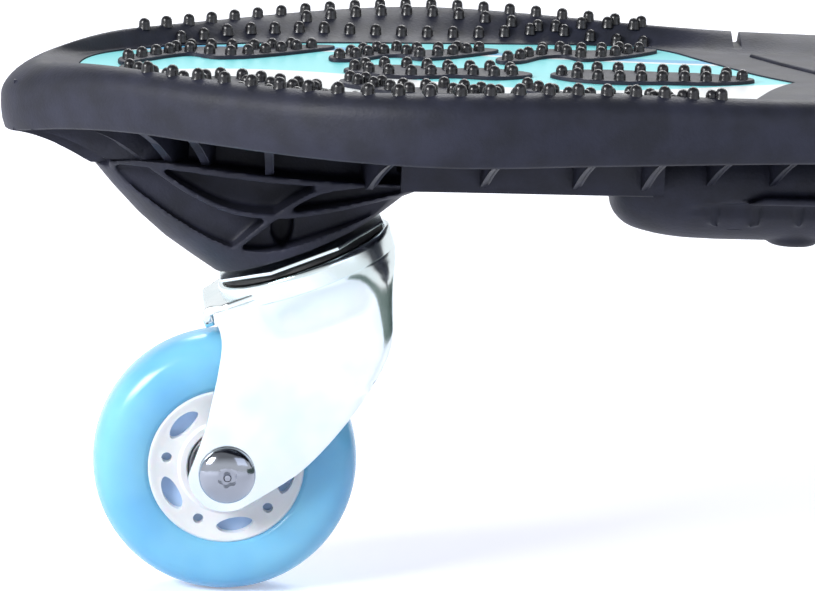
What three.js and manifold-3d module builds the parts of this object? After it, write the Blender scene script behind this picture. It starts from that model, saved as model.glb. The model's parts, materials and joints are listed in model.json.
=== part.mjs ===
// Two-wheel caster board: a nose deck and a tail deck joined by a torsion tube, each on one slanted caster.
// Millimetres. +X points from the nose to the tail, +Z up, and the ground is z = 0.
import * as THREE from 'three';
import { mergeVertices } from 'three/addons/utils/BufferGeometryUtils.js';
import Module from 'manifold-3d';

const wasm = await Module();
wasm.setup();

// Overall sizes
const boardLength = 686;
const boardWidth = 196;
const middleGap = 10;

// Height of the keel, from the middle of the mounting plate up to the underside of the deck
const keelHeight = 46.4;

// Facets of the round pieces
const hexFacets = 6;
const octagonFacets = 8;
const pinFacets = 12;
const ringFacets = 16;
const pipeFacets = 20;
const discFacets = 24;
const tyreFacets = 32;

// General clearances
const gap = 0.3;
const overrun = 2;
const mergeDistance = 1e-4;

// Deck shell. The rim swells over the middle of the foot's place, and the free end droops.
const rimRound = 6.5;
const rimRise = 5;
const rimSwell = 2.8;
const rimSwellPlace = 138;
const rimSwellRun = 52;
const skirtDepth = 11.4;
const skirtWall = 3.2;
const skirtDraft = 1.2;
const skirtBulgeHeight = 7;
const plateThickness = 3.4;
const rimDroop = 7.2;
const rimDroopRun = 38;
const plateDroop = 1;
const plateDroopRun = 36;
const skirtDroop = 7.6;
const skirtDroopRun = 45;
const outlineSteps = 28;
// Rounding of the rim: inset as a share of its radius, and how far below the rim as a share of it
const rimProfileShares = [[0.12, 0.9], [0.45, 0.3], [1, 0]];
// Slope from the rim down into the dish: share of the way in, and of the fall
const slopeShares = [[0.2, 0.12], [0.6, 0.72]];
// Plan of the dish, in step with the outline: place as a share of the deck's length, half width as a share of
// half the board's
const dishShares = [
  [0.061, 0], [0.065, 0.148], [0.074, 0.245], [0.092, 0.332], [0.127, 0.444], [0.195, 0.566], [0.272, 0.638],
  [0.355, 0.682], [0.467, 0.724], [0.568, 0.704], [0.633, 0.577], [0.704, 0.474], [0.763, 0.388],
  [0.822, 0.296], [0.882, 0.204], [0.941, 0.143], [1, 0.112],
];

// Graphic field and grip islands
const leafDepth = 1.2;
const leafStart = 21.5;
const leafEnd = 226.5;
const leafHalfWidth = 71.5;
const inlayThickness = 0.8;
const islandRise = 1.1;
// Plan of the graphic field and of its islands: place as a share of the field's length, side as a share
// of its half width. An island has an inner and an outer edge. The first three stand on both sides of
// the middle.
const leafShares = [
  [0, 0], [0.007, 0.182], [0.022, 0.308], [0.044, 0.413], [0.076, 0.51], [0.129, 0.629], [0.217, 0.748],
  [0.334, 0.839], [0.471, 0.902], [0.627, 0.965], [0.754, 1], [0.822, 0.979], [0.866, 0.853], [0.895, 0.643],
  [0.924, 0.427], [0.954, 0.224], [0.983, 0.07], [1, 0],
];
const islandShares = [
  [
    [
      [0.061, 0.042], [0.095, 0.168], [0.129, 0.294], [0.159, 0.357], [0.188, 0.28], [0.222, 0.294],
      [0.266, 0.378], [0.315, 0.503], [0.368, 0.685],
    ],
    [
      [0.056, 0.168], [0.085, 0.308], [0.12, 0.434], [0.159, 0.531], [0.198, 0.559], [0.237, 0.566],
      [0.285, 0.636], [0.334, 0.699],
    ],
  ],
  [
    [
      [0.359, 0.28], [0.393, 0.308], [0.432, 0.434], [0.456, 0.462], [0.48, 0.378], [0.515, 0.42],
      [0.554, 0.517], [0.607, 0.699],
    ],
    [
      [0.354, 0.378], [0.378, 0.476], [0.412, 0.587], [0.451, 0.643], [0.49, 0.622], [0.529, 0.664],
      [0.578, 0.734],
    ],
  ],
  [
    [
      [0.598, 0.336], [0.627, 0.364], [0.666, 0.531], [0.695, 0.573], [0.72, 0.476], [0.759, 0.531],
      [0.802, 0.643], [0.846, 0.825],
    ],
    [
      [0.593, 0.42], [0.612, 0.517], [0.646, 0.657], [0.685, 0.755], [0.724, 0.734], [0.763, 0.762],
      [0.812, 0.846],
    ],
  ],
  [
    [[0.368, -0.028], [0.402, -0.126], [0.461, -0.154], [0.52, -0.098], [0.573, -0.126], [0.627, -0.028]],
    [[0.368, 0.028], [0.402, 0.126], [0.461, 0.154], [0.52, 0.098], [0.573, 0.126], [0.627, 0.028]],
  ],
  [
    [[0.656, -0.028], [0.685, -0.126], [0.744, -0.168], [0.812, -0.14], [0.88, -0.126], [0.939, -0.028]],
    [[0.656, 0.028], [0.685, 0.126], [0.744, 0.168], [0.812, 0.14], [0.88, 0.126], [0.939, 0.028]],
  ],
];
const sideIslands = 3;

// End slots of the textured field
const slotPlace = 221;
const slotWidth = 2.5;
const slotDepth = 4;
const slotInner = 56;
const slotLean = 3;

// Caster geometry
const kingpinPlace = 85.5;
const swivelLean = THREE.MathUtils.degToRad(21.8);
const casterDrop = 51.8;
const casterTrail = 41.8;

// Mounting plate and swivel bearing
const mountPlateSize = 49;
const mountPlateThickness = 2.5;
const upperBallRadius = 17;
const lowerBallRadius = 9.5;
const upperBallSize = 3.7;
const lowerBallSize = 3.4;
const sealRadius = 24.2;
const sealWidth = 4.5;
const crownRadius = 26.2;
const crownThickness = 3;
const crownHole = 5.5;
const crownLip = 33;
const crownLipWidth = 30;
const crownLipDrop = 6.5;
const lowerRaceRadius = 13;
const lowerRaceThickness = 1.6;
const kingpinRadius = 4;
const kingpinHeadRadius = 7.5;
const kingpinHeadHeight = 5;
const kingpinReach = 18;
const insertRadius = 7;
const insertLength = 15;
const insertDepth = 4;

// Fork
const legThickness = 2.8;
const legInnerHalf = 17.6;
const legFootRadius = 11;
const legFootTurnShares = [-0.42, -1.08];

// Wheel
const wheelRadius = 38;
const wheelWidth = 24;
const tyreSideRound = 8;
const hubRadius = 22.4;
const hubBarrelRadius = 13.6;
const hubRimInner = 20.2;
const hubRecess = 0.8;
const hubShoulderRadius = 9.5;
const hubPocketDepth = 5;
const hubWindowCount = 5;
const hubTurn = THREE.MathUtils.degToRad(42);
const hubWindowHalfAngle = THREE.MathUtils.degToRad(19);
const hubWindowInner = 15.2;
const hubEyeRadius = 1.7;
const hubEyePlace = 17.2;
const hubWindowTaperShare = 0.7;
const bearingRadius = 11;
const bearingBore = 4.3;
const bearingWidth = 7;
const bearingSplit = 7.85;

// Axle
const axleRadius = 4;
const axleHeadRadius = 8.1;
const axleHeadHeight = 4.5;
const axleSocketRadius = 2.9;
const buttonHeadShares = [[0.5, 0.06], [0.82, 0.27], [1, 0.7]];
const axleSocketDepth = 2.2;
const axleNutRadius = 7.4;
const axleNutHeight = 6;
const axleTip = 2;
const bushRadius = 6.6;
const spacerRadius = 5.6;

// Keel that carries the caster. Places are shares of the kingpin's place, heights are shares of the way from
// the plate up to the underside of the deck. A ring has start, start height, end, end height, half width.
const keelFaceHalf = 25.2;
const keelWidest = 34;
const keelPanelHalf = 17;
const keelRib = 1.8;
const keelShelf = 3.2;
const keelShelfHalf = 31;
const keelHollowHalf = 13.5;
const keelHoleHalf = 3.2;
const keelHoleTall = 12;
const keelHoleDepth = 8;
const keelSegments = 20;
const keelRingShares = [
  [0.094, 1.03, 1.591, 1.03, 1],
  [0.152, 0.705, 1.544, 0.684, 0.94],
  [0.318, 0.53, 1.45, 0.43, 0.88],
  [0.38, 0.36, 1.4, 0.385, 0.86],
  [0.457, 0.19, 1.355, 0.35, 0.84],
  [0.544, 0.051, 1.32, 0.3, 0.81],
  [0.628, -0.056, 1.29, 0.26, 0.775],
];
const panelShares = [
  [0.379, 0.519], [0.531, 0.276], [0.752, 0.063], [0.884, 0.042], [1.053, 0.135], [1.345, 0.357],
  [1.368, 0.409], [0.877, 0.473], [0.48, 0.536],
];
const archRibShares = [
  [0.502, 0.536], [0.614, 0.405], [0.749, 0.297], [0.88, 0.268], [1.051, 0.297], [1.357, 0.395],
];
const slantRibShares = [[0.753, 0.008], [0.922, 0.293], [1.049, 0.426], [1.181, 0.462]];
const shelfShares = [[0.327, 0.519], [0.48, 0.557], [0.877, 0.498], [1.38, 0.426]];
const keelHollowShares = [[0.55, 0.5], [1.6, 0.5], [1.6, 1], [0.55, 1]];
const keelHoleShare = [0.93, 0.177];

// Spine and torsion housing
const spineHalf = 26;
const spineDepth = 26.5;
const spineStart = 112;
const spineWall = 3;
const tubeDrop = 25;
const tubeRadius = 13;
const tubeBore = 11;
const tubeInset = 2;
const housingRadius = 17.5;
const housingLength = 152;
const housingDome = 12;
const housingDomeSteps = 3;
const housingWebHalf = 15;
const bossOffset = 115;
const bossRadius = 8;
const bossDrop = 1.2;
const bushLength = 20;
const bushThickness = 1.7;
const bushInset = 3;
const middleRingRadius = 21;
const barWidth = 14;
const barThickness = 2.5;
const barBlockLength = 18;
const clampRadius = 3;
const clampHeadRadius = 5.4;
const clampHeadHeight = 2.7;
const clampTipGap = 2;
const clampCrownShare = 0.7;

// Ribs under the deck. End ribs: root place, root side as a share of the keel's face, root height, tip place.
// Cross ribs: places as shares of the deck's length.
const ribThickness = 2;
const spineRibRoot = 24;
const noseRibShares = [
  [0.351, 0.79, 0.568, 0.105], [0.468, 0.95, 0.578, 0.257], [0.556, 0.99, 0.568, 0.421],
  [0.673, 1.03, 0.557, 0.585], [0.877, 1.07, 0.504, 0.842], [1.205, 1.07, 0.441, 1.263],
];
const tailRibShares = [
  [0.468, 0.56, 0.684, 0.257], [0.608, 0.71, 0.62, 0.491], [0.772, 0.87, 0.557, 0.702],
  [0.959, 1.03, 0.557, 0.936], [1.17, 1.07, 0.557, 1.17], [1.38, 1.07, 0.557, 1.392],
];
const crossRibShares = [0.399, 0.476, 0.533, 0.592, 0.645, 0.72, 0.8, 0.9];
const crossRibRootShare = 0.45;

// Plan outline of one deck: distance from its end as a share of the deck, half width as a share
const outlineShares = [
  [0, 0], [0.0045, 0.09], [0.017, 0.172], [0.04, 0.268], [0.088, 0.452], [0.17, 0.7], [0.262, 0.915],
  [0.355, 1], [0.473, 0.915], [0.592, 0.825], [0.663, 0.782], [0.74, 0.752], [0.8, 0.66], [0.85, 0.53],
  [0.9, 0.415], [0.95, 0.352], [1, 0.33],
];

// Side outline of a fork leg, as shares of the trail and the drop, front edge downward and rear edge upward
const legFrontShares = [
  [0.579, -0.139], [0.495, -0.309], [0.402, -0.471], [0.309, -0.61], [0.232, -0.705],
  [0.103, -0.82], [-0.038, -0.923], [-0.182, -1], [-0.378, -1.085], [-0.557, -1.143],
];
const legRearShares = [
  [-1.048, -0.745], [-0.919, -0.587], [-0.806, -0.442], [-0.711, -0.286], [-0.699, -0.178],
];
const legFrontTopShare = 0.627;
const webEndShare = -0.62;

const halfLength = boardLength / 2;
const halfWidth = boardWidth / 2;
const deckLength = halfLength - middleGap / 2;
const plateHeight = wheelRadius + casterDrop * Math.cos(swivelLean) + casterTrail * Math.sin(swivelLean);
const undersideHeight = plateHeight + keelHeight;
const plateauHeight = undersideHeight + plateThickness;
const leafFloor = plateauHeight - leafDepth;
const skirtHeight = plateauHeight - skirtDepth;
const tubeHeight = undersideHeight - tubeDrop;
const spineBottom = undersideHeight - spineDepth;
const spineEnd = deckLength - housingLength;
const tubeFrontEnd = spineEnd + tubeInset;
const bossPlace = halfLength - bossOffset;
const bossLow = tubeHeight - housingRadius - bossDrop;

const mouldedPlastic = new THREE.MeshStandardMaterial({ color: 0x3b3a42, roughness: 0.62 });
const inlayPlastic = new THREE.MeshStandardMaterial({ color: 0x86e3ea, roughness: 0.4 });
const zincSteel = new THREE.MeshStandardMaterial({ color: 0xdfe4e6, roughness: 0.22, metalness: 1 });
const bearingSteel = new THREE.MeshStandardMaterial({ color: 0x9a9da0, roughness: 0.25, metalness: 1 });
const springSteel = new THREE.MeshStandardMaterial({ color: 0x55585c, roughness: 0.4, metalness: 1 });
const brass = new THREE.MeshStandardMaterial({ color: 0xc2a15a, roughness: 0.35, metalness: 1 });
const sealRubber = new THREE.MeshStandardMaterial({ color: 0x17171a, roughness: 0.7 });
const tyrePlastic = new THREE.MeshStandardMaterial({ color: 0x79c8f2, roughness: 0.3 });
const hubNylon = new THREE.MeshStandardMaterial({ color: 0xf1f3f4, roughness: 0.45 });
const bushNylon = new THREE.MeshStandardMaterial({ color: 0xe9e7de, roughness: 0.5 });

// The bare triangles of a closed geometry: points merged, flat slivers dropped, faces pointing out
function bareOf(geometry) {
  const bare = geometry.clone();
  bare.deleteAttribute('normal');
  bare.deleteAttribute('uv');
  const merged = mergeVertices(bare, mergeDistance);
  const position = merged.attributes.position;
  const corners = merged.index.array;
  const faces = [];
  let volume = 0;
  const [p, q, r] = [new THREE.Vector3(), new THREE.Vector3(), new THREE.Vector3()];
  for (let i = 0; i < corners.length; i += 3) {
    const [a, b, c] = [corners[i], corners[i + 1], corners[i + 2]];
    if (a === b || b === c || c === a) continue;
    faces.push([a, b, c]);
    p.fromBufferAttribute(position, a);
    q.fromBufferAttribute(position, b);
    r.fromBufferAttribute(position, c);
    volume += p.dot(q.cross(r));
  }
  const outward = volume < 0 ? faces.map(([a, b, c]) => [a, c, b]) : faces;
  return { points: new Float32Array(position.array), faces: new Uint32Array(outward.flat()) };
}

// A closed geometry as a solid that can be joined and cut
function solidOf(geometry) {
  const { points, faces } = bareOf(geometry);
  return new wasm.Manifold(new wasm.Mesh({ numProp: 3, vertProperties: points, triVerts: faces }));
}

function geometryFrom(points, faces) {
  const geometry = new THREE.BufferGeometry();
  geometry.setAttribute('position', new THREE.BufferAttribute(points, 3));
  geometry.setIndex(new THREE.BufferAttribute(faces, 1));
  geometry.computeVertexNormals();
  return geometry;
}

function geometryOf(solid) {
  const mesh = solid.getMesh();
  return geometryFrom(new Float32Array(mesh.vertProperties), new Uint32Array(mesh.triVerts));
}

function joined(solids) {
  return solids.reduce((whole, solid) => whole.add(solid));
}

// The mirror image of a solid about the plane x = place
function mirroredAt(solid, place) {
  const geometry = geometryOf(solid);
  geometry.scale(-1, 1, 1);
  geometry.translate(2 * place, 0, 0);
  return solidOf(geometry);
}

// A flat outline raised from one height to another
function slab(points, low, high) {
  const shape = new THREE.Shape(points.map(([x, y]) => new THREE.Vector2(x, y)));
  const geometry = new THREE.ExtrudeGeometry(shape, { depth: high - low, bevelEnabled: false });
  geometry.translate(0, 0, low);
  return geometry;
}

// A side view outline, x and z, drawn out from one y to another
function sideSlab(points, near, far) {
  const geometry = slab(points, -far, -near);
  geometry.rotateX(Math.PI / 2);
  return geometry;
}

// A piece turned about z. Profile points are radius and height, and the profile closes on itself.
function turned(profile, segments) {
  const points = profile.map(([radius, height]) => new THREE.Vector2(radius, height));
  points.push(points[0].clone());
  const geometry = new THREE.LatheGeometry(points, segments);
  geometry.rotateX(Math.PI / 2);
  return geometry;
}

function tube(inner, outer, low, high, segments) {
  return turned([[inner, low], [outer, low], [outer, high], [inner, high]], segments);
}

function rod(radius, low, high, segments) {
  return turned([[0, low], [radius, low], [radius, high], [0, high]], segments);
}

// A piece turned about z, laid along x or y
function alongX(geometry, height) {
  geometry.rotateY(Math.PI / 2);
  geometry.translate(0, 0, height);
  return geometry;
}

function alongY(geometry) {
  geometry.rotateX(-Math.PI / 2);
  return geometry;
}

// A ring of round section about z
function roundRing(radius, size, height, segments) {
  const profile = Array.from({ length: hexFacets }, (_, i) => {
    const angle = 2 * Math.PI * (i + 1 / 2) / hexFacets;
    const reach = size / 2 / Math.cos(Math.PI / hexFacets);
    return [radius + reach * Math.cos(angle), height + Math.sin(angle) * reach];
  });
  return turned(profile, segments);
}

// A solid of equal rings of points, capped at both ends
function loft(rings) {
  const count = rings[0].length;
  const faces = [];
  for (let level = 0; level < rings.length - 1; level += 1) {
    for (let i = 0; i < count; i += 1) {
      const next = (i + 1) % count;
      const a = level * count + i;
      const b = level * count + next;
      faces.push(a, b, b + count, a, b + count, a + count);
    }
  }
  for (const level of [0, rings.length - 1]) {
    const contour = rings[level].map((point) => new THREE.Vector2(point.x, point.y));
    const turn = Math.sign(THREE.ShapeUtils.area(contour)) * (level === 0 ? -1 : 1);
    for (const [a, b, c] of THREE.ShapeUtils.triangulateShape(contour, [])) {
      const area = THREE.ShapeUtils.area([contour[a], contour[b], contour[c]]);
      const corners = Math.sign(area) === turn ? [a, b, c] : [a, c, b];
      faces.push(...corners.map((corner) => level * count + corner));
    }
  }
  const geometry = new THREE.BufferGeometry();
  const positions = rings.flat().flatMap((point) => point.toArray());
  geometry.setAttribute('position', new THREE.Float32BufferAttribute(positions, 3));
  geometry.setIndex(faces);
  return geometry;
}

// A bent strip of even width along points in a side view
function strip(line, width) {
  const left = [];
  const right = [];
  line.forEach(([x, z], i) => {
    const before = line[Math.max(i - 1, 0)];
    const after = line[Math.min(i + 1, line.length - 1)];
    const along = new THREE.Vector2(after[0] - before[0], after[1] - before[1]).normalize();
    left.push([x - along.y * width / 2, z + along.x * width / 2]);
    right.unshift([x + along.y * width / 2, z - along.x * width / 2]);
  });
  return [...left, ...right];
}

// Points and inward directions along one side of the deck in plan, from its free end to the board's middle
function sideLine(shares) {
  const curve = new THREE.CatmullRomCurve3(
    [[shares[1][0], -shares[1][1]], ...shares]
      .map(([place, width]) => new THREE.Vector3(place * deckLength, width * halfWidth, 0)),
    false,
    'centripetal',
  );
  return Array.from({ length: outlineSteps + 1 }, (_, i) => {
    const first = 1 / shares.length;
    const share = first + (1 - first) * i / outlineSteps;
    const point = curve.getPoint(share);
    if (i === 0) point.y = 0;
    const along = curve.getTangent(share);
    const inward = new THREE.Vector2(along.y, -along.x);
    if (i === 0) inward.set(1, 0);
    if (i === outlineSteps) inward.set(0, -1);
    return { point, inward };
  });
}

const outlineSide = sideLine(outlineShares);

function halfWidthAt(place) {
  const next = outlineSide.findIndex(({ point }) => point.x >= place);
  const a = outlineSide[next - 1].point;
  const b = outlineSide[next].point;
  return a.y + (b.y - a.y) * (place - a.x) / (b.x - a.x);
}

// Heights along the deck, from its free end
function droop(place, depth, run) {
  return depth * Math.max(0, 1 - place / run) ** 2;
}

function rimAt(place) {
  const swell = rimSwell * Math.exp(-(((place - rimSwellPlace) / rimSwellRun) ** 2));
  return plateauHeight + rimRise + swell - droop(place, rimDroop, rimDroopRun);
}

const plateauAt = (place) => plateauHeight - droop(place, plateDroop, plateDroopRun);
const skirtAt = (place) => skirtHeight - droop(place, skirtDroop, skirtDroopRun);

// One closed ring of the shell, a set distance inside the outline, raised from one of these heights
function shellRing(inset, heightAt, rise, endWall) {
  const last = deckLength - endWall;
  return bothSides(outlineSide.map(({ point, inward }, i) => {
    const x = i === outlineSteps ? last : Math.min(point.x + inward.x * inset, last);
    return new THREE.Vector3(x, point.y + inward.y * inset, heightAt(x) + rise);
  }));
}

function bothSides(side) {
  const other = side.slice(1).map((point) => new THREE.Vector3(point.x, -point.y, point.z)).reverse();
  return [...other, ...side];
}

// The edge of the dish, in step with the outline
function dishRing() {
  return bothSides(sideLine(dishShares).map(({ point }) => (
    new THREE.Vector3(point.x, point.y, plateauAt(point.x))
  )));
}

function blended(first, last, share, fall) {
  return first.map((point, i) => {
    const between = point.clone().lerp(last[i], share);
    between.z = point.z + (last[i].z - point.z) * fall;
    return between;
  });
}

// The moulded shell: a dished top with a rounded rim and a skirt, hollow below
function shell() {
  const inner = skirtWall + skirtDraft;
  const rim = rimProfileShares.map(([inset, fall]) => (
    shellRing(rimRound * inset, rimAt, -rimRound * fall, 0)
  ));
  const dish = dishRing();
  return loft([
    shellRing(inner, plateauAt, -plateThickness, skirtWall),
    shellRing(inner, skirtAt, 0, skirtWall),
    shellRing(skirtDraft, skirtAt, 0, 0),
    shellRing(0, skirtAt, skirtBulgeHeight, 0),
    ...rim,
    ...slopeShares.map(([share, fall]) => blended(rim.at(-1), dish, share, fall)),
    dish,
  ]);
}

const leafPoint = ([place, side]) => [leafStart + place * (leafEnd - leafStart), side * leafHalfWidth];

// A closed outline grown outward by a margin, each corner along the sum of its two edges' directions
function grown(outline, margin) {
  const points = outline.map(([x, y]) => new THREE.Vector2(x, y));
  const turn = Math.sign(THREE.ShapeUtils.area(points));
  return points.map((point, i) => {
    const before = point.clone().sub(points.at(i - 1)).normalize();
    const after = points[(i + 1) % points.length].clone().sub(point).normalize();
    const both = before.add(after);
    const reach = 2 * margin * turn / both.lengthSq();
    return [point.x + both.y * reach, point.y - both.x * reach];
  });
}

function leafOutline(inset) {
  const far = leafShares.map(leafPoint);
  const near = far.slice(1, -1).reverse().map(([x, y]) => [x, -y]);
  return grown([...far, ...near], -inset);
}

// Outlines of the raised grip islands
function islandOutlines(margin) {
  return islandShares.flatMap(([inner, outer], i) => {
    const outline = [...inner, ...outer.toReversed()].map(leafPoint);
    const mirrored = outline.map(([x, y]) => [x, -y]);
    return (i < sideIslands ? [outline, mirrored] : [outline]).map((one) => grown(one, margin));
  });
}

const keelX = (share) => share * kingpinPlace;
const keelZ = (share) => plateHeight + share * (undersideHeight - plateHeight);
const keelPoints = (shares) => shares.map(([place, height]) => [keelX(place), keelZ(height)]);

function keelRing(startX, startZ, endX, endZ, half) {
  return Array.from({ length: keelSegments }, (_, i) => {
    const angle = 2 * Math.PI * i / keelSegments;
    const along = (1 + Math.cos(angle)) / 2;
    const x = startX + (endX - startX) * along;
    return new THREE.Vector3(x, half * Math.sin(angle), startZ + (endZ - startZ) * along);
  });
}

// The keel that carries a caster, in distances from the nose, with the bore for the kingpin's insert
function keel() {
  const acrossX = Math.cos(swivelLean) * keelFaceHalf;
  const acrossZ = Math.sin(swivelLean) * keelFaceHalf;
  const seat = mountPlateThickness / 2 + gap;
  const faceX = kingpinPlace - Math.sin(swivelLean) * seat;
  const faceZ = plateHeight + Math.cos(swivelLean) * seat;
  const rings = keelRingShares.map(([a, b, c, d, half]) => (
    keelRing(keelX(a), keelZ(b), keelX(c), keelZ(d), half * keelWidest)
  ));
  rings.push(keelRing(faceX - acrossX, faceZ - acrossZ, faceX + acrossX, faceZ + acrossZ, keelFaceHalf));
  const whole = solidOf(loft(rings));
  const reach = keelWidest + overrun;
  const cuts = [solidOf(sideSlab(keelPoints(keelHollowShares), -keelHollowHalf, keelHollowHalf))];
  const ribs = [];
  for (const side of [-1, 1]) {
    const [near, far] = [side * keelPanelHalf, side * reach].sort((a, b) => a - b);
    cuts.push(solidOf(sideSlab(keelPoints(panelShares), near, far)));
    for (const line of [archRibShares, slantRibShares]) {
      ribs.push(solidOf(sideSlab(strip(keelPoints(line), keelRib), near, far)));
    }
    const hole = alongY(rod(keelHoleHalf, -keelHoleDepth / 2, keelHoleDepth / 2, octagonFacets));
    hole.scale(1, 1, keelHoleTall / keelHoleHalf / 2);
    hole.translate(keelX(keelHoleShare[0]), side * keelPanelHalf, keelZ(keelHoleShare[1]));
    cuts.push(solidOf(hole));
  }
  const shelf = solidOf(sideSlab(strip(keelPoints(shelfShares), keelShelf), -keelShelfHalf, keelShelfHalf));
  const insertTop = insertDepth + insertLength + 2 * gap;
  const bore = turned([
    [0, -overrun], [kingpinRadius + gap, -overrun], [kingpinRadius + gap, insertDepth],
    [insertRadius + gap, insertDepth], [insertRadius + gap, insertTop], [0, insertTop],
  ], pinFacets);
  bore.rotateY(-swivelLean);
  bore.translate(kingpinPlace, 0, plateHeight);
  return joined([whole, shelf])
    .subtract(joined(cuts))
    .add(joined(ribs).intersect(whole))
    .subtract(solidOf(bore));
}

// One standing rib from the keel or the spine out to the skirt, on one side
function deckRib(rootX, rootY, rootZ, tipX, side) {
  const root = new THREE.Vector2(rootX, rootY * side);
  const tip = new THREE.Vector2(tipX, (halfWidthAt(tipX) - skirtWall) * side);
  const length = root.distanceTo(tip);
  const top = plateauAt(tipX) - plateThickness + overrun / 2;
  const tipZ = skirtAt(tipX) + gap;
  const geometry = sideSlab(
    [[0, rootZ], [length, tipZ], [length, top], [0, top]],
    -ribThickness / 2,
    ribThickness / 2,
  );
  geometry.rotateZ(Math.atan2(tip.y - root.y, tip.x - root.x));
  geometry.translate(root.x, root.y, 0);
  return solidOf(geometry);
}

// Housing of the torsion tube with its round front, its web and the boss of the clamp bolt
function housing() {
  const profile = [[0, spineEnd - housingDome]];
  for (let i = 1; i <= housingDomeSteps; i += 1) {
    const angle = Math.PI / 2 * i / housingDomeSteps;
    profile.push([housingRadius * Math.sin(angle), spineEnd - housingDome * Math.cos(angle)]);
  }
  profile.push([housingRadius, deckLength], [0, deckLength]);
  const body = alongX(turned(profile, pipeFacets), tubeHeight);
  const webTop = undersideHeight + overrun / 2;
  const web = new THREE.BoxGeometry(deckLength - spineEnd, 2 * housingWebHalf, webTop - tubeHeight);
  web.translate((deckLength + spineEnd) / 2, 0, (webTop + tubeHeight) / 2);
  const boss = rod(bossRadius, bossLow, tubeHeight, ringFacets);
  boss.translate(bossPlace, 0, 0);
  return joined([solidOf(body), solidOf(web), solidOf(boss)]);
}

// Spine between the keel and the housing: two walls under the deck
function spine() {
  const top = undersideHeight + overrun / 2;
  const wall = (side) => {
    const geometry = new THREE.BoxGeometry(spineEnd - spineStart, spineWall, top - spineBottom);
    const y = side * (spineHalf - spineWall / 2);
    geometry.translate((spineEnd + spineStart) / 2, y, (top + spineBottom) / 2);
    return solidOf(geometry);
  };
  const bulkhead = new THREE.BoxGeometry(spineWall, 2 * spineHalf, top - spineBottom);
  bulkhead.translate(spineEnd - spineWall / 2, 0, (top + spineBottom) / 2);
  return joined([wall(-1), wall(1), solidOf(bulkhead)]);
}

// One deck in distances from its free end
function deck(isFront) {
  const parts = [solidOf(shell()), housing(), spine()];
  parts.push(isFront ? keel() : mirroredAt(keel(), kingpinPlace));
  for (const side of [-1, 1]) {
    for (const [rootX, rootY, rootZ, tipX] of isFront ? noseRibShares : tailRibShares) {
      parts.push(deckRib(keelX(rootX), rootY * keelFaceHalf, keelZ(rootZ), keelX(tipX), side));
    }
    for (const share of crossRibShares) {
      const place = share * deckLength;
      const root = place < spineEnd ? spineRibRoot : housingWebHalf - ribThickness / 2;
      parts.push(deckRib(place, root, keelZ(crossRibRootShare), place, side));
    }
  }
  const leaf = solidOf(slab(leafOutline(0), leafFloor, rimAt(rimSwellPlace)));
  const islandTop = leafFloor + inlayThickness + islandRise;
  const islands = islandOutlines(0).map((outline) => solidOf(slab(outline, leafFloor - gap, islandTop)));
  const cuts = [];
  for (const side of [-1, 1]) {
    const slot = new THREE.BoxGeometry(slotWidth, halfWidth - slotInner, 2 * slotDepth);
    slot.rotateZ(-side * Math.atan2(slotLean, halfWidth - slotInner));
    slot.translate(slotPlace, side * (halfWidth + slotInner) / 2, rimAt(slotPlace));
    cuts.push(solidOf(slot));
  }
  const boreRadius = tubeRadius + gap + (isFront ? 0 : bushThickness + gap);
  const boreEnd = isFront ? tubeFrontEnd - gap : bossPlace - barBlockLength / 2 - gap;
  cuts.push(solidOf(alongX(rod(boreRadius, boreEnd, deckLength + overrun, pipeFacets), tubeHeight)));
  const headRoom = clampHeadRadius + gap;
  const headSeat = bossLow + clampHeadHeight + gap;
  const clamp = turned([
    [0, bossLow - overrun], [headRoom, bossLow - overrun], [headRoom, headSeat],
    [clampRadius + gap, headSeat], [clampRadius + gap, tubeHeight], [0, tubeHeight],
  ], ringFacets);
  clamp.translate(bossPlace, 0, 0);
  cuts.push(solidOf(clamp));
  return joined([joined(parts).subtract(leaf), ...islands]).subtract(joined(cuts));
}

function inlay() {
  const sheet = solidOf(slab(leafOutline(gap), leafFloor, leafFloor + inlayThickness));
  const holes = islandOutlines(gap).map((outline) => (
    solidOf(slab(outline, leafFloor - overrun, leafFloor + inlayThickness + overrun))
  ));
  return sheet.subtract(joined(holes));
}

const board = new THREE.Group();
board.name = 'caster_board';

function addPiece(parent, name, shape, material) {
  const isSolid = shape instanceof wasm.Manifold;
  const { points, faces } = bareOf(isSolid ? geometryOf(shape) : shape);
  const mesh = new THREE.Mesh(geometryFrom(points, faces), material);
  mesh.name = name;
  parent.add(mesh);
  return mesh;
}

// Decks and their inlays, placed from the free ends
const noseDeck = addPiece(board, 'front_deck', deck(true), mouldedPlastic);
noseDeck.position.x = -halfLength;
const noseInlay = addPiece(board, 'front_inlay', inlay(), inlayPlastic);
noseInlay.position.x = -halfLength;
addPiece(board, 'rear_deck', mirroredAt(deck(false), halfLength / 2), mouldedPlastic);
addPiece(board, 'rear_inlay', mirroredAt(inlay(), halfLength / 2), inlayPlastic);

// Torsion tube, bushes, bar and clamp bolts along the middle
const tubeStart = tubeFrontEnd - halfLength;
const blockPlace = halfLength - bossPlace;
const blockHalf = barBlockLength / 2;
const tubeStop = blockPlace - blockHalf - gap;
const clampTip = tubeHeight - barThickness / 2 - clampTipGap;

function clampHole(place) {
  const hole = rod(clampRadius + gap, bossLow, clampTip + gap, pinFacets);
  hole.translate(place, 0, 0);
  return solidOf(hole);
}

function barBlock(place, radius) {
  const block = solidOf(alongX(rod(radius, place - blockHalf, place + blockHalf, discFacets), tubeHeight));
  const slot = new THREE.BoxGeometry(barBlockLength + overrun, barWidth + 2 * gap, barThickness + 2 * gap);
  slot.translate(place, 0, tubeHeight);
  return block.subtract(solidOf(slot)).subtract(clampHole(place));
}

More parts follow.
